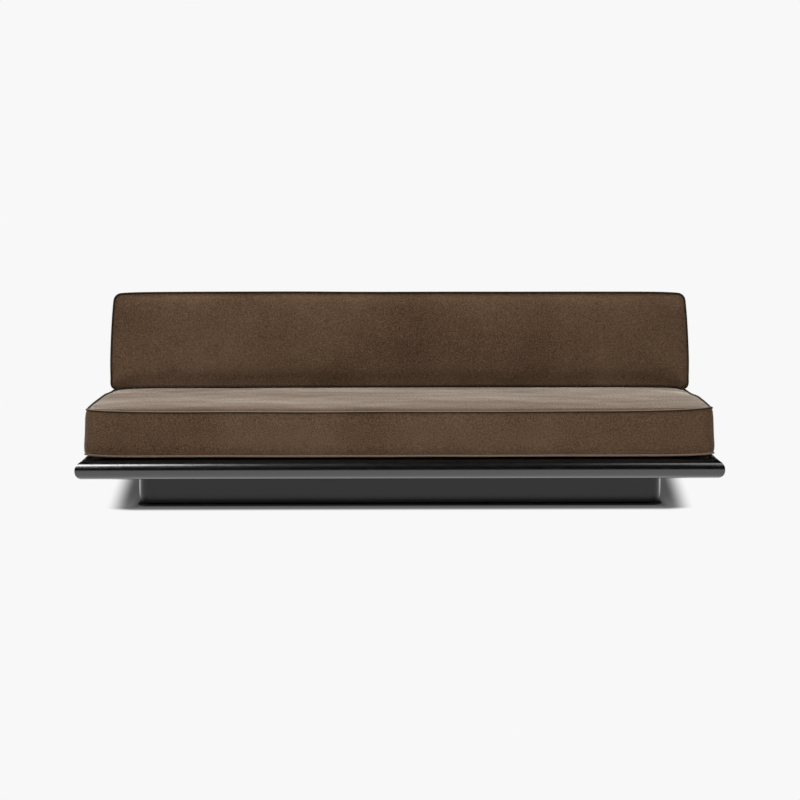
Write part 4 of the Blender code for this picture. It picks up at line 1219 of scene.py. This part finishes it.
def rail_section():
    """Section of a rail as (distance from the outer edge, height): bullnose, top and rebate."""
    radius = (PLATFORM_TOP - PLATFORM_BASE) / 2
    nose = arc((radius, PLATFORM_BASE + radius), radius, 90.0, 270.0, 40)
    rebate = HALF_DEPTH + DECK_EDGE - CLEAR
    ledge = DECK_BASE - CLEAR
    inner = [(RAIL_WIDTH, PLATFORM_BASE), (RAIL_WIDTH, ledge)]
    return [*nose, *inner, (rebate, ledge), (rebate, PLATFORM_TOP)]


def rail_mesh(span, outer, ease):
    """Mitred rail along X with its bullnose towards -Y and its outer corners eased."""
    half = span / 2 - CLEAR / 2
    ends = []
    for share in evenly(0.0, 1.0, CORNER_STEPS):
        angle = math.radians(45.0 * (1 - share))
        ring = []
        for t, z in rail_section():
            x = half - t - MITRE_RUN * share
            y = t
            if t < ease:
                x = half - ease + (ease - t) * math.sin(angle)
                y = ease - (ease - t) * math.cos(angle)
            ring.append((x, y - outer, z))
        ends.append(ring)
    shares = evenly(1.0, -1.0, RAIL_STEPS)[1:-1]
    middle = [[(x * share, y, z) for x, y, z in ends[-1]] for share in shares]
    mirrored = [[(-x, y, z) for x, y, z in ring] for ring in reversed(ends)]
    return skin([*ends, *middle, *mirrored])


KNOB_HEIGHT = 0.0007


def mat_mesh(low, high, pitch):
    """Grip mat: a thin sheet whose top stands in small knobs."""
    size = high - low
    along = round(size.x / pitch)
    across = round(size.y / pitch)
    rings = []
    for i, x in enumerate(evenly(low.x, high.x, along)):
        ring = []
        for j, y in enumerate(evenly(low.y, high.y, across)):
            knob = 0 < i < along and 0 < j < across and (i + j) % 2
            ring.append((x, y, high.z if knob else high.z - KNOB_HEIGHT))
        rings.append([*ring, (x, high.y, low.z), (x, low.y, low.z)])
    return skin(rings)


class SOFA_OT_platform(bpy.types.Operator):
    """Make the platform's four bullnosed rails and its grip mat, and dress its deck"""

    bl_idname = "sofa.platform"
    bl_label = "Platform"

    def execute(self, context):
        base = context.scene.sofa_base
        for node, (span, outer, turn) in RAILS.items():
            mesh = rail_mesh(span, outer, base.mitre_ease)
            mesh.transform(Matrix.Rotation(math.radians(turn), 4, "Z"))
            add_piece(f"{node}_lacquered", mesh, "lacquer", "base", "black_lacquer", node)
        dress("plywood", *(f"deck_panel_{number}" for number in (1, 2, 3)))
        dress("softwood_across", *(f"deck_bearer_{number}" for number in (1, 2, 3, 4)))
        low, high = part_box("deck_grip_mat")
        mesh = mat_mesh(low, high, base.mat_pitch)
        mat = add_piece("grip_mat_ribbed", mesh, "grip_mat", "base", "tape", "deck_grip_mat")
        return {"FINISHED"}


PANEL_STEPS = 8


def foot_rings(low, high, ease):
    """Heights of a plinth piece's rings with their insets, rounded under at the foot."""
    rounding = arc((ease, ease), ease, 270.0, 180.0, 10)
    return [(low + t, inset) for inset, t in rounding] + [(high, 0.0)]


def panel_mesh(low, high, side, ease):
    """Plinth panel with its outer lower edge rounded under."""
    along = 0 if side in ("front", "rear") else 1
    deep = 1 - along
    outer, inner = (low, high) if side in ("front", "left") else (high, low)
    way = 1.0 if inner[deep] > outer[deep] else -1.0
    section = [(outer[deep] + way * inset, z) for z, inset in foot_rings(low.z, high.z, ease)]
    section += [(inner[deep], high.z), (inner[deep], low.z)]
    rings = []
    for place in evenly(low[along], high[along], PANEL_STEPS):
        rings.append([(place, t, z) if along == 0 else (t, place, z) for t, z in section])
    return skin(rings)


def post_mesh(low, high, corner, radius, ease):
    """Plinth corner post with a round outer edge, rounded under at the foot."""
    half = (high.x - low.x) / 2
    outline = arc((half - radius, half - radius), radius, 0.0, 90.0, 24)
    outline += [(-half, half), (-half, -half), (half, -half)]
    way_x = -1.0 if corner.endswith("left") else 1.0
    way_y = -1.0 if corner.startswith("front") else 1.0
    middle = (low + high) / 2
    rings = []
    for z, inset in foot_rings(low.z, high.z, ease):
        x_share = way_x * (1 - inset / half)
        y_share = way_y * (1 - inset / half)
        rings.append([(middle.x + x * x_share, middle.y + y * y_share, z) for x, y in outline])
    return skin(rings)


class SOFA_OT_plinth(bpy.types.Operator):
    """Make the plinth's rounded posts and panels, and dress its battens and rib"""

    bl_idname = "sofa.plinth"
    bl_label = "Plinth"

    def execute(self, context):
        radius = context.scene.sofa_base.plinth_corner
        ease = context.scene.sofa_base.plinth_ease
        meshes = {}
        for corner in CORNERS:
            node = f"plinth_post_{corner}"
            meshes[node] = post_mesh(*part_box(node), corner, radius, ease)
        for side in ("front", "rear", "left", "right"):
            node = f"plinth_{side}_panel"
            meshes[node] = panel_mesh(*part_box(node), side, ease)
        for node, mesh in meshes.items():
            add_piece(f"{node}_lacquered", mesh, "plinth_lacquer", "base", "black_lacquer", node)
        dress("softwood_along", "plinth_front_batten", "plinth_rear_batten")
        dress("softwood_across", "plinth_centre_rib")
        return {"FINISHED"}


# Height of a foot's pad, length of its stem's plain end, and radii and pitch of its thread
PAD_TOP = 0.0047
STEM_END = 0.002
STEM_CORE = 0.0043
STEM_THREAD = 0.0050
STEM_PITCH = 0.0015


def foot_mesh(pad, height):
    """Levelling foot with an eased pad and a threaded stem."""
    profile = [(TIP, 0.0), (pad - 0.004, 0.0), (pad - 0.001, 0.0005), (pad, 0.0014)]
    profile += [(pad, 0.0030), (pad - 0.0008, 0.0042), (pad - 0.003, PAD_TOP)]
    profile += [(0.0078, PAD_TOP), (STEM_THREAD, PAD_TOP)]
    for turn in range(int((height - PAD_TOP - STEM_END) / STEM_PITCH)):
        z = PAD_TOP + 0.0004 + STEM_PITCH * turn
        profile += [(STEM_CORE, z), (STEM_THREAD, z + STEM_PITCH / 2)]
    profile += [(STEM_CORE, height - STEM_END / 2), (0.0032, height), (TIP, height)]
    return turned(profile, 32)


class SOFA_OT_feet(bpy.types.Operator):
    """Make the six levelling feet with eased pads and threaded stems"""

    bl_idname = "sofa.feet"
    bl_label = "Levelling feet"

    def execute(self, context):
        for end in ("front", "rear"):
            for side in SIDES:
                node = f"levelling_foot_{end}_{side}"
                low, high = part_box(node)
                middle = (low + high) / 2
                mesh = foot_mesh((high.x - low.x) / 2, high.z)
                mesh.transform(Matrix.Translation((middle.x, middle.y, low.z)))
                body = f"foot_{end}_{side}"
                add_piece(f"{node}_turned", mesh, "nylon", body, "foot_plastic", node)
        return {"FINISHED"}


# Back support and fasteners

# Thread pitch of a fastener and radius of its thread's core, as shares of its shank's radius
THREAD_PITCH = 0.7
THREAD_CORE = 0.86


def fastener_mesh(shank, head, height, reach):
    """Button-headed fastener with a hexagon socket, its shank above local Z zero."""
    pitch = shank * THREAD_PITCH
    profile = [(TIP, reach), (pitch, reach), (shank, reach - shank)]
    for turn in range(int((reach - shank) / pitch)):
        z = reach - shank - turn * pitch
        profile += [(shank, z), (shank * THREAD_CORE, z - pitch / 2)]
    profile += [(shank, 0.0), (head, 0.0), (head, -0.25 * height), (0.94 * head, -0.6 * height)]
    profile += [(0.8 * head, -0.85 * height), (0.62 * head, -height)]
    socket = len(profile)
    profile += [(0.5 * head, -height), (0.48 * head, -0.4 * height), (TIP, -0.4 * height)]
    return turned(profile, 24, (socket, socket + 1))


def add_fasteners(name, nodes, turn, shank, head, height):
    """Equal fasteners in the places of some CAD nodes, as one piece."""
    spots = []
    for node in nodes:
        low, high = local_box(node, turn)
        spot = Vector(((low.x + high.x) / 2, (low.y + high.y) / 2, low.z + height))
        spots.append(tuple(turn @ spot))
        reach = high.z - low.z - height
    shape = bpy.data.objects.new("template", fastener_mesh(shank, head, height, reach))
    bpy.context.scene.collection.objects.link(shape)
    points = bpy.data.meshes.new("points")
    points.from_pydata(spots, [], [])
    made = grow(fastener_tree, points, "zinc", Shape=shape, Turn=tuple(turn.to_euler()))
    bpy.data.objects.remove(shape)
    add_piece(name, made, "zinc", "base", "zinc_steel", *nodes)


class SOFA_OT_fasteners(bpy.types.Operator):
    """Make the frame screws, upright bolts and board screws"""

    bl_idname = "sofa.fasteners"
    bl_label = "Fasteners"

    def execute(self, context):
        nodes = [f"frame_screw_{corner}" for corner in CORNERS]
        add_fasteners("frame_screws", nodes, Matrix(), shank=0.0025, head=0.005, height=0.003)
        nodes = [f"upright_bolt_{side}" for side in SIDES]
        down = Matrix.Rotation(math.pi, 4, "X")
        add_fasteners("upright_bolts", nodes, down, shank=0.005, head=0.009, height=0.006)
        nodes = [f"board_screw_{level}_{side}" for level in ("lower", "upper") for side in SIDES]
        forward = LEAN @ Matrix.Rotation(math.pi / 2, 4, "X")
        add_fasteners("board_screws", nodes, forward, shank=0.003, head=0.006, height=0.0025)
        return {"FINISHED"}


UPRIGHT_THICKNESS = 0.010
# Distance on either side of the seat's level over which the uprights start to lean
LEAN_ROOM = 0.01


def upright_mesh(low, high, bend, ease):
    """Bent flat bar from its foot on the platform to its top behind the board."""
    slim = UPRIGHT_THICKNESS / 2
    radius = bend + slim
    foot_z = low.z + slim
    centre_y = low.y + slim
    path = [(y, foot_z) for y in evenly(high.y, centre_y + radius, 4)]
    path += arc((centre_y + radius, foot_z + radius), radius, 270.0, 180.0, 10)[1:]
    path += [(centre_y, z) for z in evenly(foot_z + radius, SEAT_LEVEL - LEAN_ROOM, 6)[1:]]
    rise = (SUPPORT.inverted() @ Vector((0.0, UPRIGHT_FRONT, high.z))).z
    for z in evenly(LEAN_ROOM, rise, 8)[1:]:
        path.append((SUPPORT @ Vector((0.0, slim, z))).yz)
    wide = (high.x - low.x) / 2
    section = []
    for sx, sy, start in ((1, 1, 0.0), (-1, 1, 90.0), (-1, -1, 180.0), (1, -1, 270.0)):
        section += arc((sx * (wide - ease), sy * (slim - ease)), ease, start, start + 90.0, 4)
    middle = (low.x + high.x) / 2
    rings = []
    for k, (y, z) in enumerate(path):
        before = Vector(path[max(0, k - 1)])
        after = Vector(path[min(len(path) - 1, k + 1)])
        ahead = (after - before).normalized()
        rings.append([(middle + x, y - ahead.y * s, z + ahead.x * s) for x, s in section])
    return skin(rings)


STRIP_EASE = 0.0006
STRIP_MARGIN = 0.004


def add_strip(name, node, body, face):
    """Tape strip on the support, stitched along both edges on the face towards -Y or +Y."""
    low, high = local_box(node, SUPPORT)
    y = low.y if face < 0 else high.y
    span = 0.7 * bpy.context.scene.sofa_base.stitch_pitch
    rows = [rounded_block(low, high, STRIP_EASE)]
    for z in (low.z + STRIP_MARGIN, high.z - STRIP_MARGIN):
        ends = [(low.x + STRIP_MARGIN, y, z), (high.x - STRIP_MARGIN, y, z)]
        rows.append(stitch_row(ends, "hook_tape", span))
    strip = join_meshes(rows)
    strip.transform(SUPPORT)
    add_piece(name, strip, "hook_tape", body, "tape", node)


class SOFA_OT_back_support(bpy.types.Operator):
    """Make the back's bent uprights, its board and the strips that hold the cushion"""

    bl_idname = "sofa.back_support"
    bl_label = "Back support"

    def execute(self, context):
        base = context.scene.sofa_base
        for side in SIDES:
            node = f"back_upright_{side}"
            mesh = upright_mesh(*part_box(node), base.upright_bend, base.edge_ease)
            add_piece(f"{node}_bent", mesh, "black_steel", "base", "black_steel", node)
        board = rounded_block(*local_box("back_board", SUPPORT), base.edge_ease * 1.5)
        board.transform(SUPPORT)
        name = "back_board_lacquered"
        add_piece(name, board, "plinth_lacquer", "base", "black_lacquer", "back_board")
        add_strip("hook_strip_sewn", "board_hook_strip", "base", -1)
        add_strip("loop_strip_sewn", "cushion_loop_strip", "back_cushion", 1)
        return {"FINISHED"}


# Stage


def seen_shader(tree, lit, shown, strength, glow):
    """Mix of a shown colour for the camera, gloss and glass, and a lit shader for the rest."""
    paths = put(tree, "ShaderNodeLightPath", {}).outputs
    gloss = paths["Is Glossy Ray"]
    gain = put(tree, "ShaderNodeMapRange", {"Value": gloss, "To Min": 1.0, "To Max": glow})
    tree.links.new(gain.outputs["Result"], strength)
    seen = paths["Is Camera Ray"]
    for other in (gloss, paths["Is Transmission Ray"]):
        seen = put(tree, "ShaderNodeMath", {0: seen, 1: other}, operation="MAXIMUM").outputs[0]
    return put(tree, "ShaderNodeMixShader", {"Fac": seen, 1: lit, 2: shown}).outputs[0]


# Shadow on the floor: how it widens rearward, reaches ahead and fades faster there, where it
# starts and ends to fade into the open floor, and how open the floor is inside it
SHADOW_WIDENING = 0.094
SHADOW_AHEAD = 0.046
SHADOW_HASTE = 1.7
SHADOW_FADE = (0.034, 0.122)
SHADOW_OPEN = 0.066
# Painted shadow of the gap under the plinth's foot, on the floor just ahead of it: how far it shows
# ahead, and over what width it ends
GAP_SHADOW_AHEAD = 0.012
GAP_SHADOW_FADE = 0.01
# Contact shadow along the plinth: reach ahead, where it starts and ends to fade, and its tone
CONTACT_AHEAD = 0.02
CONTACT_FADE = (-0.005, 0.035)
CONTACT_TONE = 0.02


def floor_material(stage):
    """Pale floor: even where it is open, and close to the plinth lit and shaded by the sofa, with a
    painted shadow and a painted contact shadow added.
    """
    material = bpy.data.materials.new("pale_floor")
    material.use_nodes = True
    tree = material.node_tree
    tree.nodes.clear()

    def add(kind, sockets, output=0, **options):
        return put(tree, f"ShaderNode{kind}", sockets, **options).outputs[output]

    def eased(value, fade, start, end):
        sockets = {"Value": value, "From Min": fade[0], "From Max": fade[1]}
        sockets |= {"To Min": start, "To Max": end}
        return add("MapRange", sockets, interpolation_type="SMOOTHSTEP")

    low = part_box("plinth_post_front_left")[0]
    spot = add("TexCoord", {}, "Object")
    rearward = add("SeparateXYZ", {0: spot}, "Y")

    def distance(widening, ahead, haste=1.0, inset=0.0):
        """Distance from the plinth's outline, widened rearward, moved ahead and inset."""
        sockets = {0: rearward, 1: widening, 2: -low.x - inset - widening * low.y}
        wide = add("Math", sockets, operation="MULTIPLY_ADD")
        edge = add("CombineXYZ", {"X": wide, "Y": ahead - inset - low.y})
        place = add("VectorMath", {0: spot}, operation="ABSOLUTE")
        place = add("VectorMath", {0: place, 1: edge}, operation="SUBTRACT")
        place = add("VectorMath", {0: place, 1: (0.0, 0.0, 0.0)}, operation="MAXIMUM")
        place = add("VectorMath", {0: place, 1: (1.0, haste, 1.0)}, operation="MULTIPLY")
        return add("VectorMath", {0: place}, "Value", operation="LENGTH")

    shadow = distance(SHADOW_WIDENING, SHADOW_AHEAD, SHADOW_HASTE)
    open_floor = eased(shadow, SHADOW_FADE, SHADOW_OPEN, 1.0)
    corner = bpy.context.scene.sofa_base.plinth_corner
    gap_shadow = distance(0.0, GAP_SHADOW_AHEAD, inset=corner)
    gap_shadow = eased(gap_shadow, (corner, corner + GAP_SHADOW_FADE), 0.0, 1.0)
    open_floor = add("Math", {0: open_floor, 1: gap_shadow}, operation="MULTIPLY")
    contact = distance(0.0, CONTACT_AHEAD)
    contact = eased(contact, CONTACT_FADE, CONTACT_TONE, stage.shade[0])
    lit = add("BsdfDiffuse", {"Color": (*stage.floor, 1.0)})
    shade = add("BsdfDiffuse", {"Color": contact})
    even = put(tree, "ShaderNodeEmission", {"Color": (*stage.backdrop, 1.0)})
    shown = add("MixShader", {"Fac": open_floor, 1: shade, 2: even.outputs[0]})
    surface = seen_shader(tree, lit, shown, even.inputs["Strength"], stage.glow)
    put(tree, "ShaderNodeOutputMaterial", {"Surface": surface})
    return material


def flag_material():
    """Dull black of the flags that keep light out of the gloss."""
    sockets = {"Base Color": (0.02, 0.02, 0.02, 1.0), "Roughness": 1.0, "Specular IOR Level": 0.0}
    return Finish("dark_flag", sockets).material


def add_plane(name, size, matrix, material):
    bm = bmesh.new()
    bmesh.ops.create_grid(bm, x_segments=1, y_segments=1, size=0.5)
    bmesh.ops.scale(bm, vec=(*size, 1.0), verts=bm.verts)
    bmesh.ops.transform(bm, matrix=matrix, verts=bm.verts)
    mesh = bpy.data.meshes.new(name)
    bm.to_mesh(mesh)
    bm.free()
    mesh.materials.append(material)
    plane = bpy.data.objects.new(name, mesh)
    bpy.context.scene.collection.objects.link(plane)
    return plane


# Point that the lights face
TARGET = Vector((0.0, 0.0, 0.3))


def add_light(name, place, size, power, glossy=True):
    light = bpy.data.lights.new(name, "AREA")
    light.shape = "RECTANGLE"
    light.size, light.size_y = size
    light.energy = power
    lamp = bpy.data.objects.new(name, light)
    lamp.location = place
    lamp.rotation_euler = (TARGET - Vector(place)).to_track_quat("-Z", "Y").to_euler()
    lamp.visible_glossy = glossy
    lamp.visible_camera = False
    bpy.context.scene.collection.objects.link(lamp)
    return lamp


def studio_world(stage):
    """World that lights evenly, and that the camera sees as the backdrop but gloss hardly sees."""
    world = bpy.data.worlds.new("studio")
    world.use_nodes = True
    tree = world.node_tree
    tree.nodes.clear()
    lit = put(tree, "ShaderNodeBackground", {"Strength": stage.sky}).outputs[0]
    shown = put(tree, "ShaderNodeBackground", {"Color": (*stage.backdrop, 1.0)})
    gloss_share = 0.03
    mix = seen_shader(tree, lit, shown.outputs[0], shown.inputs["Strength"], gloss_share)
    put(tree, "ShaderNodeOutputWorld", {"Surface": mix})
    return world


class SOFA_OT_stage(bpy.types.Operator):
    """Make the floor, the light and the camera"""

    bl_idname = "sofa.stage"
    bl_label = "Stage"

    def execute(self, context):
        scene = context.scene
        stage = scene.sofa_stage
        scene.view_settings.view_transform = "Standard"
        add_plane("floor", (80.0, 80.0), Matrix(), floor_material(stage))
        flags = flag_material()
        ahead = Matrix.Translation((0.0, -13.0, 4.9)) @ Matrix.Rotation(math.pi / 2, 4, "X")
        above = Matrix.Translation((0.0, -4.5, 9.7))
        for name, size, place in (
            ("dark_wall", (30.0, 9.6), ahead),
            ("dark_ceiling", (30.0, 17.0), above),
        ):
            add_plane(name, size, place, flags).visible_camera = False
        scene.world = studio_world(stage)
        add_light("overhead", (-0.2, 0.15, 4.2), (2.4, 2.4), stage.overhead, glossy=False)
        add_light("fill", (0.0, -9.5, 4.0), (7.0, 4.0), stage.fill, glossy=False)
        for side, way, power in (("left", -1.0, stage.left_box), ("right", 1.0, stage.right_box)):
            add_light(f"front_{side}", (2.8 * way, -3.9, 6.0), (1.2, 3.0), power)
            place = (3.2 * way, -3.9, 5.7)
            card = add_light(f"{side}_card", place, (1.2, 4.9), power * stage.cards)
            card.visible_diffuse = False
        lens = bpy.data.cameras.new("camera")
        lens.lens = stage.lens
        lens.sensor_width = 36.0
        lens.shift_y = -stage.drop
        lens.shift_x = stage.aside
        lens.clip_end = 200.0
        camera = bpy.data.objects.new("camera", lens)
        camera.location = (0.0, -HALF_DEPTH - stage.distance, stage.height)
        camera.rotation_euler = (math.pi / 2, stage.roll, 0.0)
        scene.collection.objects.link(camera)
        scene.camera = camera
        return {"FINISHED"}


class SOFA_PT_panel(bpy.types.Panel):
    """Lists the sofa's settings and the steps that make it"""

    bl_idname = "SOFA_PT_panel"
    bl_label = "Three-seater sofa"
    bl_space_type = "VIEW_3D"
    bl_region_type = "UI"
    bl_category = "Sofa"

    def draw(self, context):
        layout = self.layout
        for step in STEPS:
            layout.operator(step.bl_idname)
        for group, kind in GROUPS.items():
            column = layout.column(align=True)
            column.label(text=kind.__doc__)
            for name in kind.__annotations__:
                column.prop(getattr(context.scene, group), name)


STEPS = (
    SOFA_OT_stage,
    SOFA_OT_seat_cushion,
    SOFA_OT_back_cushion,
    SOFA_OT_platform,
    SOFA_OT_plinth,
    SOFA_OT_feet,
    SOFA_OT_back_support,
    SOFA_OT_fasteners,
)


def register():
    for kind in (*GROUPS.values(), *STEPS, SOFA_PT_panel):
        bpy.utils.register_class(kind)
    for name, kind in GROUPS.items():
        setattr(bpy.types.Scene, name, PointerProperty(type=kind))


def unregister():
    for name in GROUPS:
        delattr(bpy.types.Scene, name)
    for kind in reversed((*GROUPS.values(), *STEPS, SOFA_PT_panel)):
        bpy.utils.unregister_class(kind)


def main():
    register()
    bpy.ops.sofa.stage()
    bpy.ops.sofa.seat_cushion()
    bpy.ops.sofa.back_cushion()
    bpy.ops.sofa.platform()
    bpy.ops.sofa.plinth()
    bpy.ops.sofa.feet()
    bpy.ops.sofa.back_support()
    bpy.ops.sofa.fasteners()


if __name__ == "__main__":
    main()
